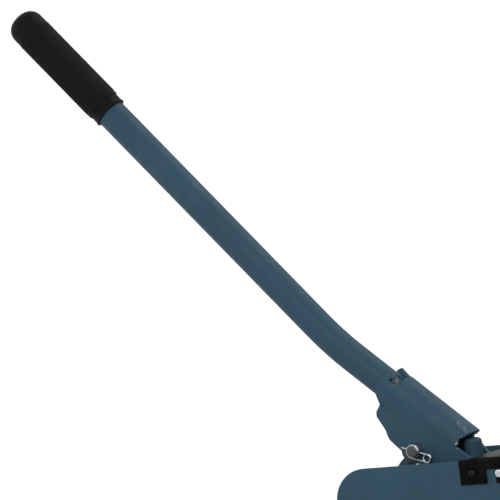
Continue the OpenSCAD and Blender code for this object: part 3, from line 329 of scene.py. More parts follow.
def plated(name, colour, rough, streak):
    """Plated or ground steel: cloudy plate, fine tool lines and small stains."""
    s = new_shader(name)
    cloud = s.noise(120, 3, 0.6)
    lines = s.noise(1, 2, 0.5, s.place((260, 260, 4200)))
    stain = s.ramp(s.noise(210, 4, 0.65), 0.56, 0.72)
    tone = s.blend(cloud, shade(colour, 0.82), shade(colour, 1.06))
    tone = s.blend(stain * 0.4, tone, shade(colour, 0.55))
    return s.surface(
        base_color=tone,
        metallic=1.0 - stain * 0.25,
        roughness=rough + cloud * 0.12 + stain * 0.15,
        normal=s.bump(lines, streak),
    )


def sawn_pin(name, colour, face, end):
    """Plated pin whose sawn end has gone brown; the end lies at the given Y."""
    s = new_shader(name)
    depth = s.node("SeparateXYZ", {"Vector": s.here()}, out="Y")
    mask = s.ramp(depth, end + 0.5 * MM, end + 0.2 * MM)
    cloud = s.noise(420, 4, 0.7)
    brown = s.blend(cloud, shade(face, 0.6), shade(face, 1.3))
    bright = s.blend(s.noise(160, 3), shade(colour, 0.7), colour)
    saw = s.noise(1, 2, 0.5, s.place((900, 900, 5200), (0, 0.4, 0)))
    return s.surface(
        base_color=s.blend(mask, bright, brown),
        metallic=1.0 - mask * 0.75,
        roughness=0.24 + mask * 0.4 + cloud * 0.1,
        normal=s.bump(saw, 0.12 * MM, 0.6),
    )


def cast(name, colour):
    """Cast iron: sandy skin, darker in the hollows, with a film of oil."""
    s = new_shader(name)
    sand = s.node("TexVoronoi", {"Vector": s.here(), "Scale": 760.0})
    grain = s.noise(380, 4, 0.65)
    film = s.ramp(s.noise(26, 3, 0.6), 0.42, 0.66)
    tone = s.blend(grain, shade(colour, 0.7), shade(colour, 1.2))
    return s.surface(
        base_color=s.blend(film * 0.45, tone, shade(colour, 0.5)),
        metallic=0.35,
        roughness=0.66 - film * 0.28 + sand * 0.1,
        normal=s.bump(sand + grain, 0.28 * MM, 0.7),
    )


def moulded(name, colour, rough, grain, gloss):
    """Rubber or plastic from a mould: matt grain, faint bloom and worn high spots."""
    s = new_shader(name)
    fine = s.noise(grain, 3, 0.6)
    bloom = s.ramp(s.noise(34, 4, 0.65), 0.35, 0.75)
    tone = s.blend(bloom * 0.5, shade(colour, 0.9), shade(colour, 1.45))
    return s.surface(
        base_color=tone,
        roughness=rough + fine * 0.14 - bloom * 0.06,
        normal=s.bump(fine, 0.07 * MM, 0.8),
        specular_ior_level=gloss,
    )


def make_finishes(finish):
    """All finishes of the pump by their slot in the record, and the extra ones of the scene."""
    pin_end = PIN.y - YOKE_HALF - PIN_OUT
    satin = (finish.blue, finish.blue_rough, 0.08, 0.022 * MM)
    looks = {
        "blue_paint": (paint, *satin),
        "yoke_paint": (paint, *satin, shade(finish.steel, 0.8)),
        # Painted shade: the weld beads in the yoke's window are painted dark to stand for the shade in the pocket
        # between tube and yoke
        "weld_paint": (paint, shade(finish.blue, 0.28), 0.18, 0.5, 0.12 * MM),
        "bead_paint": (paint, shade(finish.blue, 0.85), 0.3, 0.4, 0.1 * MM),
        "black_paint": (paint, finish.black, finish.black_rough, 0.025, 0.012 * MM),
        "zinc": (plated, finish.zinc, 0.24, 0.02 * MM),
        "bright_steel": (plated, finish.steel, 0.2, 0.03 * MM),
        # Painted shade: dark steel that stands for the shade on the crosshead under the pin
        "oiled_steel": (plated, finish.oiled, 0.34, 0.03 * MM),
        "black_steel": (plated, finish.blacked, 0.12, 0.01 * MM),
        "cast_iron": (cast, finish.iron),
        "bronze": (plated, finish.bronze, 0.3, 0.03 * MM),
        "seal_rubber": (moulded, finish.rubber, 0.6, 1500, 0.25),
        "grip_rubber": (moulded, finish.rubber, 0.5, 2100, 0.06),
        "black_plastic": (moulded, finish.plastic, 0.42, 1300, 0.35),
        "pin_steel": (sawn_pin, finish.zinc, finish.pin_face, pin_end),
    }
    return {name: make(name, *look) for name, (make, *look) in looks.items()}


FINISHES = {}


# Modelling by hand


def leave():
    """Leaves edit mode."""
    bpy.ops.object.mode_set(mode="OBJECT")


def clear():
    """Leaves edit mode and deselects everything."""
    if bpy.context.mode != "OBJECT":
        leave()
    bpy.ops.object.select_all(action="DESELECT")


def active():
    """The active object, which an adding operator leaves."""
    return bpy.context.active_object


def choose(*pieces):
    """Selects these pieces alone; the last is the active one."""
    clear()
    for piece in pieces:
        piece.select_set(True)
    bpy.context.view_layer.objects.active = pieces[-1]
    return pieces[-1]


def edit(piece):
    """Opens a piece in edit mode, all selected."""
    choose(piece)
    bpy.ops.object.mode_set(mode="EDIT")
    bpy.ops.mesh.select_all(action="SELECT")


def pick(kind, test):
    """In edit mode, selects the vertices, edges or faces that pass a test."""
    bpy.ops.mesh.select_mode(type=kind)
    bpy.ops.mesh.select_all(action="DESELECT")
    data = bpy.context.edit_object.data
    mesh = bmesh.from_edit_mesh(data)
    for item in {"VERT": mesh.verts, "EDGE": mesh.edges, "FACE": mesh.faces}[kind]:
        item.select_set(test(item))
    mesh.select_flush_mode()
    bmesh.update_edit_mesh(data)


def extrude(way):
    """In edit mode, extrudes what is selected along a way."""
    bpy.ops.mesh.extrude_region_move(TRANSFORM_OT_translate={"value": way})


def widen(factor, test):
    """In edit mode, scales the vertices of a turned shape that pass a test towards or from its axis."""
    pick("VERT", test)
    bpy.ops.transform.resize(value=(factor, factor, 1), center_override=(0, 0, 0))


def column(vert, sides):
    """Number of the column that a vertex of a turned shape lies in."""
    return round(atan2(vert.co.y, vert.co.x) * sides / tau)


def from_axis(vert):
    """Distance of a vertex of a turned shape from its axis."""
    return hypot(vert.co.x, vert.co.y)


def tidy(piece):
    """Merges doubles and turns the normals outwards."""
    edit(piece)
    bpy.ops.mesh.remove_doubles(threshold=WELD)
    bpy.ops.mesh.normals_make_consistent(inside=False)
    leave()
    return piece


def modify(piece, kind, **settings):
    """Adds a modifier and applies it."""
    choose(piece)
    modifier = piece.modifiers.new(kind.lower(), kind)
    for key, value in settings.items():
        setattr(modifier, key, value)
    bpy.ops.object.modifier_apply(modifier=modifier.name)
    return piece


def ease(piece, width, segments=2, angle=32):
    """Rounds a piece's sharp edges."""
    return modify(
        piece, "BEVEL", width=width, segments=segments, limit_method="ANGLE", angle_limit=radians(angle),
        use_clamp_overlap=True, harden_normals=False,
    )


def carve(piece, cutter, operation="DIFFERENCE"):
    """Cuts one shape out of another, or keeps what they share."""
    modify(piece, "BOOLEAN", operation=operation, solver="EXACT", object=cutter)
    bpy.data.objects.remove(cutter)
    return piece


def move(piece, matrix):
    """Puts a piece in its place, in its mesh."""
    choose(piece)
    piece.matrix_world = matrix @ piece.matrix_world
    bpy.ops.object.transform_apply()
    return piece


def facing(at, axis):
    """Place of a shape made along Z that stands at a point and looks along an axis."""
    return Matrix.Translation(at) @ Vector(axis).to_track_quat("Z", "Y").to_matrix().to_4x4()


def joined(pieces):
    """Makes one piece of several."""
    choose(*pieces)
    if len(pieces) > 1:
        bpy.ops.object.join()
    return active()


def repeated(pattern, places):
    """Copies a pattern to each place and joins the copies."""
    copies = []
    for place in places:
        choose(pattern)
        bpy.ops.object.duplicate(linked=False)
        copies.append(move(active(), place))
    bpy.data.objects.remove(pattern)
    return joined(copies)


def mm(points):
    """Points given in millimetres, in metres."""
    return [(first * MM, second * MM) for first, second in points]


def turned(profile, sides=SIDES, hollow=False):
    """Turns a profile of (radius, height) about Z: a ring is extruded and scaled from point to point.

    A hollow profile closes on its first point.
    """
    clear()
    radius, height = profile[0]
    fill = "NOTHING" if hollow else "NGON"
    bpy.ops.mesh.primitive_circle_add(vertices=sides, radius=radius, fill_type=fill, location=(0, 0, height))
    piece = active()
    bpy.ops.object.transform_apply()
    edit(piece)
    for wide, high in profile[1:] + profile[:1] * hollow:
        extrude((0, 0, high - height))
        grow = wide / radius
        bpy.ops.transform.resize(value=(grow, grow, 1), center_override=(0, 0, high))
        radius, height = wide, high
    return tidy(piece)


def hexed(flats, height):
    """Hexagon with the round chamfer of its turned blank."""
    clear()
    bpy.ops.mesh.primitive_cylinder_add(
        vertices=6, radius=flats / sqrt(3), depth=height, location=(0, 0, height / 2)
    )
    nut = active()
    bpy.ops.object.transform_apply()
    rim, corner = 0.48 * flats, 0.62 * flats
    drop = (corner - rim) * 0.55
    blank = [(corner, -0.1 * height), (corner, height - drop), (rim, height), (rim * 0.4, height + 0.05 * MM)]
    return carve(nut, turned(blank), "INTERSECT")


def strung(points, radius, around=5, swell=(1.0,)):
    """Round wire along a row of points; its thickness follows the given factors in turn."""
    clear()
    bpy.ops.curve.primitive_nurbs_path_add()
    path = active()
    path.matrix_world = Matrix.Identity(4)
    curve = path.data
    curve.splines.clear()
    spline = curve.splines.new("POLY")
    spline.points.add(len(points) - 1)
    for index, (point, place) in enumerate(zip(spline.points, points)):
        point.co = (*place, 1)
        point.radius = swell[index % len(swell)]
    curve.dimensions = "3D"
    curve.bevel_depth = radius
    curve.bevel_resolution = around
    curve.use_fill_caps = True
    bpy.ops.object.convert(target="MESH")
    return tidy(active())


def bead(points, radius):
    """Weld bead along a row of points: a wire that swells and shrinks in ripples."""
    wire = strung(points, radius, 2, (0.55, 1.0, 0.9, 1.15, 0.8))
    return modify(wire, "SUBSURF", levels=1, render_levels=1)


def cuboid(span, centre):
    """Box of a size about a point."""
    clear()
    bpy.ops.mesh.primitive_cube_add(size=1)
    box = active()
    box.scale, box.location = span, centre
    bpy.ops.object.transform_apply()
    return box


def between(low, high):
    """Box between two corners."""
    low, high = Vector(low), Vector(high)
    return cuboid(high - low, (high + low) / 2)


def sheet(low, high, depth, corners):
    """Flat sheet below Z 0 between two corners in X and Y; each row of corners is (X, Y, radius)."""
    clear()
    bpy.ops.mesh.primitive_plane_add(size=1)
    piece = active()
    piece.scale = (high[0] - low[0], high[1] - low[1], 1)
    piece.location = ((high[0] + low[0]) / 2, (high[1] + low[1]) / 2, 0)
    bpy.ops.object.transform_apply()
    edit(piece)
    for x, y, radius in corners:
        pick("VERT", lambda v: hypot(v.co.x - x, v.co.y - y) < MM)
        bpy.ops.mesh.bevel(offset=radius, segments=max(6, round(radius / (1.5 * MM))), affect="VERTICES")
    bpy.ops.mesh.select_all(action="SELECT")
    extrude((0, 0, -depth))
    return tidy(piece)


def copied(node):
    """Copy of a CAD node with its triangles merged."""
    clear()
    source = frame["nodes"][node]
    piece = source.copy()
    piece.data = source.data.copy()
    piece.parent = None
    piece.matrix_world = Matrix.Identity(4)
    for key in list(piece.keys()):
        if key.startswith("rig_"):
            del piece[key]
    bpy.context.scene.collection.objects.link(piece)
    edit(piece)
    bpy.ops.mesh.remove_doubles(threshold=WELD)
    leave()
    return piece


def broken(node, width):
    """Copy of a CAD node with its flats made whole and its sharp edges broken."""
    piece = copied(node)
    edit(piece)
    bpy.ops.mesh.dissolve_limited(angle_limit=radians(0.5))
    leave()
    return ease(piece, width, 2, 35)


def pressed(node, grain, rounds, keep):
    """Copy of a CAD node whose edges are rounded as pressing or casting leaves them."""
    piece = copied(node)
    modify(piece, "REMESH", mode="VOXEL", voxel_size=grain, use_smooth_shade=True)
    modify(piece, "SMOOTH", factor=0.5, iterations=rounds)
    return modify(piece, "DECIMATE", ratio=keep)


def confirm(piece, nodes):
    """Stops the build if a piece strays from the boxes of the CAD nodes that it stands for."""
    boxes = [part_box(node) for node in nodes]
    places = [vert.co for vert in piece.data.vertices]
    for axis in range(3):
        low = min(box[0][axis] for box in boxes) - min(place[axis] for place in places)
        high = max(box[1][axis] for box in boxes) - max(place[axis] for place in places)
        if max(abs(low), abs(high)) > STRAY:
            raise RuntimeError(f"{piece.name} strays by {low:.4f} and {high:.4f} along axis {axis}")


def finished(piece, name, finish, body, *nodes, slot=None, angle=30):
    """Names and shades a piece, gives it its finish and its body, and checks it against the CAD nodes it stands
    for and hides them.
    """
    choose(piece)
    bpy.ops.object.shade_smooth_by_angle(angle=radians(angle))
    piece.name = name
    piece.data.name = name
    piece.data.materials.clear()
    piece.data.materials.append(FINISHES[finish])
    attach(piece, body)
    if nodes:
        confirm(piece, nodes)
        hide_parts(*nodes)
    return piece


# Stage

FLOOR_WIDE = 40
FLOOR_DROP = 0.2 * MM
LAMP_AIM = Vector((-0.1, 0, 0.3))
CAMERA_RIGHT = Vector((0.8809, 0.4568, -0.1239))
CAMERA_BACK = Vector((0.468, -0.880, 0.083))
CAMERA_LOOK = PIN + Vector((-187.7, 1.2, 233.7)) * MM
CAMERA_CLIP = 200
SENSOR = 36


class PUMP_OT_stage(bpy.types.Operator):
    """Set the camera at the photograph's angle over a pale floor in soft light"""

    bl_idname = "pump.stage"
    bl_label = "Stage"

    def execute(self, context):
        stage = context.scene.pump_stage
        scene = context.scene
        scene.view_settings.view_transform = "Standard"
        self.make_world(scene, stage)
        self.make_floor(stage)
        self.make_lamps(stage)
        self.make_camera(scene, stage)
        return {"FINISHED"}

    def make_world(self, scene, stage):
        world = bpy.data.worlds.new("studio")
        scene.world = world
        s = Shader(world)
        light = s.node("Background", {"Color": (1, 1, 1), "Strength": stage.ambient})
        white = s.node("Background", {"Color": (1, 1, 1), "Strength": 1.0})
        both = s.node("MixShader", {0: s.seen(), 1: light, 2: white})
        s.node("OutputWorld", {"Surface": both})

    def make_floor(self, stage):
        clear()
        bpy.ops.mesh.primitive_plane_add(size=FLOOR_WIDE, location=(0, 0, -FLOOR_DROP))
        floor = active()
        edit(floor)
        bpy.ops.mesh.subdivide(number_cuts=3)
        leave()
        floor.name = "floor"
        s = new_shader("pale_floor")
        matt = s.node("BsdfDiffuse", {"Color": tuple(stage.floor)})
        reach = {"Value": s.far(s.here()), "From Min": 0.8, "From Max": 3.5, "To Min": 0.44, "To Max": 0.78}
        glow = s.node("Emission", {"Color": s.node("MapRange", reach), "Strength": 1.0})
        lifted = s.node("AddShader", {0: matt, 1: glow})
        s.node("OutputMaterial", {"Surface": s.node("MixShader", {0: s.seen(), 1: matt, 2: lifted})})
        floor.data.materials.append(s.owner)

    def make_lamps(self, stage):
        lamps = {
            "key": (stage.key, 2.2, (0.9, -3.0, 1.9)),
            "fill": (stage.fill, 2.4, (-2.9, -1.5, 1.2)),
            "top": (stage.top, 2.2, (1.2, 1.4, 3.0)),
        }
        for name, (watts, width, place) in lamps.items():
            clear()
            bpy.ops.object.light_add(type="AREA", location=place)
            lamp = active()
            lamp.name = name
            lamp.data.energy = watts
            lamp.data.shape = "DISK"
            lamp.data.size = width
            lamp.rotation_euler = (LAMP_AIM - Vector(place)).to_track_quat("-Z", "Y").to_euler()

    def make_camera(self, scene, stage):
        clear()
        right = CAMERA_RIGHT.normalized()
        back = CAMERA_BACK.normalized()
        up = back.cross(right).normalized()
        right = up.cross(back)
        turn = Matrix((right, up, back)).transposed().to_4x4()
        bpy.ops.object.camera_add()
        camera = active()
        camera.name = "camera"
        camera.data.sensor_width = SENSOR
        camera.data.lens = SENSOR * stage.distance / stage.span
        camera.data.clip_end = CAMERA_CLIP
        camera.matrix_world = Matrix.Translation(CAMERA_LOOK + back * stage.distance) @ turn
        scene.camera = camera


# Lever

# Rise of the columns that make up one rib of the grip
RIB_SHAPE = (1.0, 0.8, 0.0, 0.0, 0.0, 0.8)
RIB_COLUMNS = len(RIB_SHAPE)
# Weld beads: tracks in millimetres down the yoke and degrees up from its side, and radius and lift of a bead
WINDOW_TRACK = [(15 + (5 - 10 * k / 6) * (-1) ** row, 34 + 6.5 * row) for row in range(5) for k in range(7)]
WINDOW_BEAD = (1.7 * MM, 0.4 * MM)
BACK_TOPS = {FRONT: (63, 57), REAR: (38, 32)}
BACK_BEAD = (2.6 * MM, -1.35 * MM)
CLIP_TURN, CLIP_HOOK = radians(18.5), radians(40)


class PUMP_OT_handle_tube(bpy.types.Operator):
    """Draw the handle tube from a ring, straight, round its bend and straight again"""

    bl_idname = "pump.handle_tube"
    bl_label = "Handle tube"

    def execute(self, context):
        lever = context.scene.pump_lever
        clear()
        bpy.ops.mesh.primitive_circle_add(
            vertices=96, radius=lever.tube_d / 2, location=(lever.inside, 0, 0), rotation=(0, pi / 2, 0)
        )
        tube = active()
        bpy.ops.object.transform_apply()
        edit(tube)
        extrude((-lever.inside - lever.lower, 0, 0))
        centre = Vector((-lever.lower, 0, lever.bend_r))
        bpy.ops.mesh.spin(steps=24, angle=-BEND, center=centre, axis=(0, 1, 0))
        straight = lever.reach + lever.grip_len - GRIP_TIP
        extrude(Vector((-cos(BEND), 0, sin(BEND))) * straight)
        tidy(tube)
        modify(tube, "SOLIDIFY", thickness=lever.tube_wall, offset=-1)
        ease(tube, 0.5 * MM)
        move(tube, ON_YOKE)
        finished(tube, "handle_tube_drawn", "blue_paint", "lever", "handle_tube")
        return {"FINISHED"}


class PUMP_OT_grip(bpy.types.Operator):
    """Mould the rubber grip: lipped neck, finely ribbed sleeve and round end"""

    bl_idname = "pump.grip"
    bl_label = "Grip"

    def execute(self, context):
        lever = context.scene.pump_lever
        bore, end = lever.tube_d / 2 / MM, lever.grip_len / MM
        outer = bore + lever.grip_wall / MM
        neck, lip, tip = outer - 1.2, 0.7, outer - 5
        low, high = 16.5, end - 25
        sides = lever.ribs * RIB_COLUMNS
        profile = [(bore, end - GRIP_TIP / MM), (bore, 0.4), (bore + 0.4, 0), (neck, 0)]
        profile += [(neck + lip * sin(a), lip - lip * cos(a)) for a in (pi / 4, pi / 2)]
        profile += [
            (neck + lip, 1.5), (neck + 0.55 * lip, 2.2), (neck + 0.2 * lip, 2.7), (neck, 3.4), (neck, 10.6),
            (neck + 0.2, 11.2), (outer - 0.35, 11.8), (outer, 12.6), (outer, low), (outer, low + 1.2),
            (outer, high - 2), (outer, high), (outer, end - tip),
        ]
        round_end = [pi / 2 * k / 12 for k in range(1, 13)]
        profile += [(outer - tip + tip * cos(a), end - tip + tip * sin(a)) for a in round_end]
        grip = turned(mm(profile + [(1, end)]), sides)
        edit(grip)
        ribbed = (outer * MM - WELD, (low + 1) * MM, (high - 1) * MM)
        for place, rise in enumerate(RIB_SHAPE):
            swell = 1 + rise * lever.rib_h / MM / outer
            widen(swell, lambda v: self.on_rib(v, sides, place, *ribbed))
        leave()
        bent = Vector((-lever.lower - lever.bend_r * sin(BEND), 0, lever.bend_r * (1 - cos(BEND))))
        upper = ON_YOKE @ Matrix.Translation(bent) @ Matrix.Rotation(BEND, 4, "Y")
        move(grip, upper @ facing((-lever.reach, 0, 0), (-1, 0, 0)))
        finished(grip, "handle_grip_moulded", "grip_rubber", "lever", "handle_grip", angle=45)
        return {"FINISHED"}

    def on_rib(self, vert, sides, place, radius, low, high):
        """Tells if a vertex lies on the ribbed stretch, at the given place in a rib's outline."""
        here = column(vert, sides) % RIB_COLUMNS
        return here == place and low < vert.co.z < high and from_axis(vert) > radius


class PUMP_OT_yoke(bpy.types.Operator):
    """Press the yoke with soft edges and lay the weld beads that hold the tube in it"""

    bl_idname = "pump.yoke"
    bl_label = "Yoke"

    def execute(self, context):
        lever = context.scene.pump_lever
        yoke = pressed("lever_yoke", lever.press, 6, 0.42)
        finished(yoke, "lever_yoke_pressed", "yoke_paint", "lever", "lever_yoke", slot="blue_paint", angle=60)
        tube = bpy.data.objects["handle_tube_drawn"]
        for side, name in ((FRONT, "front"), (REAR, "rear")):
            # The window's beads take the dark paint that is painted shade for that pocket
            self.weld("yoke_weld_window_" + name, "weld_paint", side, tube, WINDOW_TRACK, *WINDOW_BEAD)
            for run, top in enumerate(BACK_TOPS[side]):
                back = [(97 + 20 * k / 11 + 0.9 * run, top - 6 * k / 11) for k in range(12)]
                self.weld(f"yoke_weld_back_{name}_{run}", "bead_paint", side, yoke, back, *BACK_BEAD)
        return {"FINISHED"}

    def weld(self, name, finish, side, ground, track, thick, lift):
        """Bead on a piece along a track of millimetres down the yoke and degrees up from its side."""
        points = []
        for x, rise in track:
            out = Vector((0, side * cos(radians(rise)), sin(radians(rise)))) * YOKE_HALF
            spot, normal = ground.closest_point_on_mesh(ON_YOKE @ (out + Vector((x * MM, 0, 0))))[1:3]
            points.append(spot + normal * lift)
        finished(bead(points, thick), name, finish, "lever", slot="blue_paint", angle=60)


class PUMP_OT_pins(bpy.types.Operator):
    """Turn the piston pin and bend the spring clip that holds it"""

    bl_idname = "pump.pins"
    bl_label = "Pin and clip"

    def execute(self, context):
        self.make_pin()
        self.make_clip(context.scene.pump_lever)
        return {"FINISHED"}

    def make_pin(self):
        profile = [
            (5.9, 0), (6.4, 0.15), (7.8, 1.55), (8.0, 1.9), (8.0, 57.6), (11.5, 57.6), (12, 58.1), (12, 63.0),
            (11.4, 63.6), (4.0, 63.6), (3.4, 63.1), (1.0, 63.1),
        ]
        pin = turned(mm(profile), 48)
        move(pin, facing(PIN - Vector((0, YOKE_HALF + PIN_OUT, 0)), (0, 1, 0)))
        finished(pin, "piston_pin_turned", "pin_steel", "lever", "piston_pin", slot="zinc")

    def make_clip(self, lever):
        loop, wire = lever.clip_loop, lever.clip_wire
        leg, reach, play = 15.5 * MM, 17 * MM, 0.15 * MM
        wrap = PIN_R + wire / 2 + play
        coil = Vector((reach, -loop))
        span = coil.length
        along = coil / span
        lean = (wrap - loop) / span
        side = along * lean + Vector((along.y, -along.x)) * sqrt(1 - lean * lean)
        down = atan2(side.y, side.x)
        path = [Vector((-leg, 0, 0))]
        turn = pi / 2 - down + tau
        drift = (wire + play) * turn / tau
        for step in range(61):
            k = step / 60
            angle = pi / 2 - turn * k
            path.append(Vector((coil.x + loop * cos(angle), drift * k, coil.y + loop * sin(angle))))
        hook = [down - CLIP_HOOK * k / 9 for k in range(10)]
        path += [Vector((wrap * cos(a), drift, wrap * sin(a))) for a in hook]
        clip = strung(path, wire / 2, 6)
        middle_y = PIN.y - YOKE_HALF - PIN_OUT / 2
        place = Matrix.Translation((PIN.x, middle_y, PIN.z)) @ Matrix.Rotation(CLIP_TURN, 4, "Y")
        move(clip, place)
        finished(clip, "r_clip_bent", "zinc", "lever", "r_clip", angle=50)


# Chassis

# Widths of the broken edges in millimetres, by body and node
FITTINGS = {
    "chassis": {
        "gland_nut": 0.5, "rod_wiper": 0.2, "relief_cap": 0.5, "release_nut": 0.4, "suction_union": 0.4,
        "drain_plug": 0.5, "filler_neck": 0.5, "tank_lid": 0.4, "stud_nuts": 0.3, "outlet_washer": 0.2,
        "lid_screws": 0.6, "base_screws": 0.2,
    },
    "lever": {"fulcrum_pin": 0.2, "fulcrum_circlips": 0.15},
    "piston": {"piston_plunger": 0.3},
}
# Places of the fasteners on a side plate in millimetres along and up
BOLTS = [(-145.106, 20), (-45, 20), (20, 40), (20, 118), (160, 40), (160, 118)]
STUDS = [(16.4, 174.5), (156.4, 174.5)]
COVER_SCREWS = [(-16.8, 176.7), (176, 176.7)]
# Radii of the holes, and how far a drill goes through a side plate
BOLT_HOLE, STUD_HOLE, SCREW_HOLE, COVER_HOLE = 4.5 * MM, 4 * MM, 2 * MM, 2.3 * MM
BASE_HOLE, FILLER_HOLE = 5.5 * MM, 30 * MM
THROUGH = 6 * MM
BASE_LIP, BASE_CORNER = 24 * MM, 12 * MM
BASE_BOLT_X, BASE_BOLT_Y = 165 * MM, 84.5 * MM
FILLER_X = 130 * MM
# Bayonet slots: room about the stud, width of the entry and how far it drops
SLOT_ROOM, SLOT_ENTRY, SLOT_DROP = 5.1 * MM, 12 * MM, 14 * MM


def side_places(side, points, out=0.0):
    """Places on a side plate's outer face that look outwards."""
    return [facing((x * MM, side * (BODY_HALF + out), z * MM), (0, side, 0)) for x, z in points]


def both_sides(points, out=0.0):
    """Such places on both side plates."""
    return [place for side in (FRONT, REAR) for place in side_places(side, points, out)]


def drill(piece, places, radius, depth=THROUGH):
    """Bores round holes at places, each as deep as given to both sides."""
    bit = turned([(radius, -depth), (radius, depth)], 32)
    return carve(piece, repeated(bit, places))


class PUMP_OT_side_plates(bpy.types.Operator):
    """Cut the two side plates and the base plate from sheet and break their edges"""

    bl_idname = "pump.side_plates"
    bl_label = "Plates"

    def execute(self, context):
        chassis = context.scene.pump_chassis
        for side, node in ((FRONT, "front_side_plate"), (REAR, "rear_side_plate")):
            corners = [(-BODY_END, BODY_TOP, chassis.corner), (BODY_END, BODY_TOP, chassis.back_corner)]
            plate = sheet((-BODY_END, BASE_TOP), (BODY_END, BODY_TOP), PLATE, corners)
            inner = -BODY_HALF if side == FRONT else BODY_HALF - PLATE
            move(plate, Matrix.Translation((0, inner, 0)) @ Matrix.Rotation(pi / 2, 4, "X"))
            ease(plate, chassis.edge, 3, 50)
            for points, radius in ((BOLTS, BOLT_HOLE), (STUDS, STUD_HOLE), (COVER_SCREWS, SCREW_HOLE)):
                drill(plate, side_places(side, points), radius)
            finished(plate, node + "_cut", "blue_paint", "chassis", node)
        self.make_base(chassis)
        return {"FINISHED"}

    def make_base(self, chassis):
        half = BODY_HALF + BASE_LIP
        quarters = [(sx, sy) for sx in (-1, 1) for sy in (-1, 1)]
        corners = [(sx * BODY_END, sy * half, BASE_CORNER) for sx, sy in quarters]
        base = sheet((-BODY_END, -half), (BODY_END, half), BASE_TOP, corners)
        move(base, Matrix.Translation((0, 0, BASE_TOP)))
        ease(base, chassis.edge, 3, 50)
        holes = [facing((sx * BASE_BOLT_X, sy * BASE_BOLT_Y, 0), (0, 0, 1)) for sx, sy in quarters]
        drill(base, holes, BASE_HOLE, 1.5 * BASE_TOP)
        finished(base, "base_plate_cut", "blue_paint", "chassis", "base_plate")


class PUMP_OT_cover(bpy.types.Operator):
    """Fold the black cover from sheet and cut its bayonet slots, holes and filler opening"""

    bl_idname = "pump.cover"
    bl_label = "Cover"

    def execute(self, context):
        chassis = context.scene.pump_chassis
        thick = chassis.cover_t
        half = BODY_HALF + SHEET_GAP + thick
        top = BODY_TOP + SHEET_GAP + thick
        left, bottom = COVER_LEFT - COVER_TAB, BODY_TOP - FLAP
        span = (BODY_END - left, 2 * half, top - bottom)
        cover = cuboid(span, ((BODY_END + left) / 2, 0, (top + bottom) / 2))
        edit(cover)
        pick("FACE", lambda f: f.normal.z < -0.5 or abs(f.normal.x) > 0.5)
        bpy.ops.mesh.delete(type="FACE")
        pick("EDGE", lambda e: self.is_bend(e, top))
        bpy.ops.mesh.bevel(offset=chassis.cover_bend, segments=6, affect="EDGES")
        leave()
        modify(cover, "SOLIDIFY", thickness=thick, offset=-1, use_even_offset=True)
        self.cut(cover, left, half, top)
        ease(cover, 0.35 * MM, 2, 50)
        finished(cover, "top_cover_folded", "black_paint", "chassis", "top_cover")
        return {"FINISHED"}

    def is_bend(self, edge, top):
        """Tells if an edge runs along the top."""
        first, last = (vert.co for vert in edge.verts)
        return min(first.z, last.z) > top - WELD and abs(first.x - last.x) > MM

    def cut(self, cover, left, half, top):
        far = half + 5 * MM
        near = BODY_HALF + SHEET_GAP - 0.2 * MM
        carve(cover, between((left - MM, -far, BODY_TOP + 1.5 * MM), (COVER_LEFT, far, top + MM)))
        carve(cover, between((left - MM, -near, BODY_TOP - 4 * MM), (COVER_LEFT, near, top + MM)))
        for x, z in mm(STUDS):
            start, end, ceiling = x - SLOT_ROOM, x + SLOT_ROOM, z + SLOT_ROOM
            carve(cover, between((start - SLOT_ENTRY, -far, z - SLOT_DROP), (start, far, ceiling)))
            carve(cover, between((start - MM, -far, z - SLOT_ROOM), (end, far, ceiling)))
        for side in (FRONT, REAR):
            drill(cover, side_places(side, COVER_SCREWS), COVER_HOLE)
        drill(cover, [facing((FILLER_X, 0, BODY_TOP), (0, 0, 1))], FILLER_HOLE, 8 * MM)


class PUMP_OT_fasteners(bpy.types.Operator):
    """Model a bolt, a washer, a screw and a stud and copy them to their places"""

    bl_idname = "pump.fasteners"
    bl_label = "Fasteners"

    def execute(self, context):
        chassis = context.scene.pump_chassis
        bolts = repeated(self.bolt(chassis), both_sides(BOLTS))
        finished(bolts, "side_bolts_hex", "zinc", "chassis", "side_bolts")
        washers = repeated(self.washer(), both_sides(BOLTS))
        finished(washers, "side_washers_flat", "zinc", "chassis", "side_washers", angle=40)
        out = SHEET_GAP + chassis.cover_t
        screws = repeated(self.screw(), both_sides(COVER_SCREWS, out))
        finished(
            screws, "cover_screws_pan", "black_steel", "chassis", "cover_screws", slot="black_paint", angle=40
        )
        studs = repeated(self.stud(out / MM), both_sides(STUDS))
        finished(studs, "cover_studs_turned", "zinc", "chassis", "cover_studs", angle=40)
        return {"FINISHED"}

    def bolt(self, chassis):
        head = hexed(chassis.bolt_af, 5.3 * MM)
        move(head, Matrix.Translation((0, 0, 1.6 * MM)))
        ease(head, 0.15 * MM, 2, 40)
        shank = turned(mm([(3.2, -17), (4, -16.2), (4, 1.7), (3, 1.8)]), 32)
        return joined([shank, head])

    def washer(self):
        ring = [(4.3, 0), (7.8, 0), (8, 0.2), (8, 1.4), (7.8, 1.6), (4.3, 1.6)]
        return turned(mm(ring), 48, hollow=True)

    def screw(self):
        dome = [(3.7, 0), (3.8, 0.2), (3.8, 0.9), (3.5, 1.6), (2.9, 2.05), (1.8, 2.3), (0.5, 2.4)]
        head = turned(mm([(2, -10.8), (2, 0), *dome]), 40)
        for turn in (0, pi / 2):
            place = Matrix.Rotation(turn, 4, "Z") @ Matrix.Translation((0, 0, 1.1 * MM))
            carve(head, move(hexed(0.8 * MM, 4 * MM), place @ Matrix.Diagonal((4.6, 1, 1, 1))))
        return head

    def stud(self, out):
        crown = [(4.5, out + 2.0), (4.2, out + 2.6), (3.5, out + 3), (1.2, out + 3)]
        return turned(mm([(4, -12), (4, -0.01), (4.5, 0), *crown]), 40)


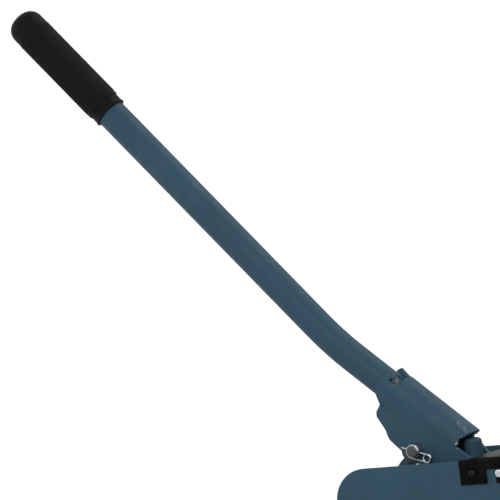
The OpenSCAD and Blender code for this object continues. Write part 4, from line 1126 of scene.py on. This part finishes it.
class PUMP_OT_pump(bpy.types.Operator):
    """Soften the pump block, the post and the crosshead, mould the knob and turn the outlet"""

    bl_idname = "pump.pump"
    bl_label = "Pump"

    def execute(self, context):
        chassis = context.scene.pump_chassis
        grain = chassis.cast_grain
        block = pressed("pump_block", grain, 5, 0.5)
        finished(block, "pump_block_cast", "cast_iron", "chassis", "pump_block", angle=60)
        post = pressed("fulcrum_post", 0.6 * grain, 5, 0.5)
        finished(post, "fulcrum_post_forged", "blue_paint", "chassis", "fulcrum_post", angle=60)
        head = pressed("piston_crosshead", 0.5 * grain, 4, 0.5)
        # The crosshead takes the dark steel that is painted shade, for the shade under the pin
        finished(
            head, "piston_crosshead_milled", "oiled_steel", "piston", "piston_crosshead",
            slot="bright_steel", angle=60,
        )
        self.make_knob()
        self.make_outlet()
        return {"FINISHED"}

    def make_knob(self):
        low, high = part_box("release_knob")
        centre = (low + high) / 2
        outer, height = (high.z - low.z) / 2 / MM, (high.x - low.x) / MM
        lobes, sides = 8, 192
        profile = [
            (0.3 * outer, 0), (outer - 4.4, 0), (outer - 3.6, 0.3), (outer - 0.5, 2.6), (outer, 3.4),
            (outer, height - 3), (outer - 0.5, height - 1.5), (outer - 2, height - 0.2), (outer - 3, height),
            (outer - 7, height), (outer - 8, height - 0.6), (0.1 * outer, height - 0.6),
        ]
        knob = turned(mm(profile), sides)
        edit(knob)
        step = sides // lobes
        for reach in range(8, 1, -1):
            widen(
                0.985,
                lambda v: abs((column(v, sides) + step // 2) % step - step // 2) < reach
                and from_axis(v) > 0.7 * outer * MM,
            )
        leave()
        move(knob, facing((high.x, centre.y, centre.z), (-1, 0, 0)))
        finished(knob, "release_knob_moulded", "black_plastic", "release_valve", "release_knob", angle=45)

    def make_outlet(self):
        low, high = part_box("outlet_adaptor")
        centre = (low + high) / 2
        flats, washer, hexagon, nose, bore, depth, inside = 27, 1.5, 12, 14, 7.5, 16, 16
        end = washer + hexagon + nose
        turn = flats / 2 - 1.5
        body = [
            (3, -inside), (10, -inside), (10, washer), (turn, washer), (turn, end - 1.2), (turn - 1, end),
            (bore + 1, end), (bore, end - 1), (bore, end - depth), (3, end - depth),
        ]
        shell = turned(mm(body), hollow=True)
        nut = hexed(flats * MM, hexagon * MM)
        move(nut, Matrix.Translation((0, 0, washer * MM)))
        carve(nut, turned(mm([(turn - 0.5, -1), (turn - 0.5, 40)])))
        ease(nut, 0.2 * MM, 2, 40)
        turns, steps, pitch = 9, 24, 1.45
        thread = []
        for k in range(turns * steps + 1):
            angle = tau * k / steps
            rise = end - depth + 1.2 + pitch * k / steps
            thread.append(Vector((bore * cos(angle), bore * sin(angle), rise)) * MM)
        helix = strung(thread, 0.42 * MM, 1)
        adaptor = joined([helix, nut, shell])
        move(adaptor, facing((high.x - inside * MM, centre.y, centre.z), (-1, 0, 0)))
        finished(adaptor, "outlet_adaptor_threaded", "zinc", "chassis", "outlet_adaptor", angle=35)


class PUMP_OT_filler(bpy.types.Operator):
    """Mould the filler cap with its finger grips"""

    bl_idname = "pump.filler"
    bl_label = "Filler cap"

    def execute(self, context):
        low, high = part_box("filler_cap")
        centre = (low + high) / 2
        outer, height, bore = (high.x - low.x) / 2 / MM, (high.z - low.z) / MM, 22.3
        grips, sides = 24, 192
        profile = [
            (bore, 0), (outer - 0.4, 0), (outer, 0.4), (outer, 1.4), (outer, height - 4.5),
            (outer - 0.2, height - 3.4), (outer - 1.5, height - 1.2), (outer - 4, height),
            (outer - 9, height), (outer - 10, height - 0.7), (6, height - 0.7), (5, height - 0.1),
            (1, height - 0.1), (1, height - 5), (bore, height - 5),
        ]
        cap = turned(mm(profile), sides, hollow=True)
        edit(cap)
        step = sides // grips
        for depth, columns in ((0.975, (0, 1, 2, step - 1, step - 2)), (0.985, (0, 1, step - 1))):
            widen(
                depth,
                lambda v: column(v, sides) % step in columns
                and from_axis(v) > 0.9 * outer * MM and MM < v.co.z < (height - 4) * MM,
            )
        leave()
        move(cap, Matrix.Translation((centre.x, centre.y, low.z)))
        finished(cap, "filler_cap_moulded", "black_plastic", "filler", "filler_cap", angle=40)
        return {"FINISHED"}


class PUMP_OT_fittings(bpy.types.Operator):
    """Break the edges of the turned and hexagonal fittings"""

    bl_idname = "pump.fittings"
    bl_label = "Fittings"

    def execute(self, context):
        for body, widths in FITTINGS.items():
            for node, width in widths.items():
                finished(broken(node, width * MM), node + "_eased", SLOTS[node], body, node, angle=35)
        return {"FINISHED"}


class PUMP_OT_finishes(bpy.types.Operator):
    """Give every CAD node the finish of its slot in the record"""

    bl_idname = "pump.finishes"
    bl_label = "Finishes"

    def execute(self, context):
        FINISHES.update(make_finishes(context.scene.pump_finish))
        for name, node in frame["nodes"].items():
            node.data.materials.clear()
            node.data.materials.append(FINISHES[SLOTS[name]])
        return {"FINISHED"}


class PUMP_PT_panel(bpy.types.Panel):
    """Sidebar panel that lists the pump's steps and sizes"""

    bl_idname = "PUMP_PT_panel"
    bl_label = "Hand Pump"
    bl_space_type = "VIEW_3D"
    bl_region_type = "UI"
    bl_category = "Hand Pump"

    def draw(self, context):
        for step in STEPS:
            self.layout.operator(step.bl_idname)
        for group in GROUPS:
            values = getattr(context.scene, group)
            for name in values.__annotations__:
                self.layout.prop(values, name)


GROUPS = {
    "pump_finish": PumpFinish,
    "pump_lever": PumpLever,
    "pump_chassis": PumpChassis,
    "pump_stage": PumpStage,
}
STEPS = (
    PUMP_OT_finishes, PUMP_OT_stage, PUMP_OT_handle_tube, PUMP_OT_grip, PUMP_OT_yoke, PUMP_OT_pins,
    PUMP_OT_side_plates, PUMP_OT_cover, PUMP_OT_fasteners, PUMP_OT_pump, PUMP_OT_filler, PUMP_OT_fittings,
)


def register():
    for kind in (*GROUPS.values(), *STEPS, PUMP_PT_panel):
        bpy.utils.register_class(kind)
    for name, kind in GROUPS.items():
        setattr(bpy.types.Scene, name, bpy.props.PointerProperty(type=kind))


def unregister():
    for name in GROUPS:
        delattr(bpy.types.Scene, name)
    for kind in reversed((*GROUPS.values(), *STEPS, PUMP_PT_panel)):
        bpy.utils.unregister_class(kind)


def main():
    register()
    for step in STEPS:
        family, name = step.bl_idname.split(".")
        getattr(getattr(bpy.ops, family), name)()


if __name__ == "__main__":
    main()
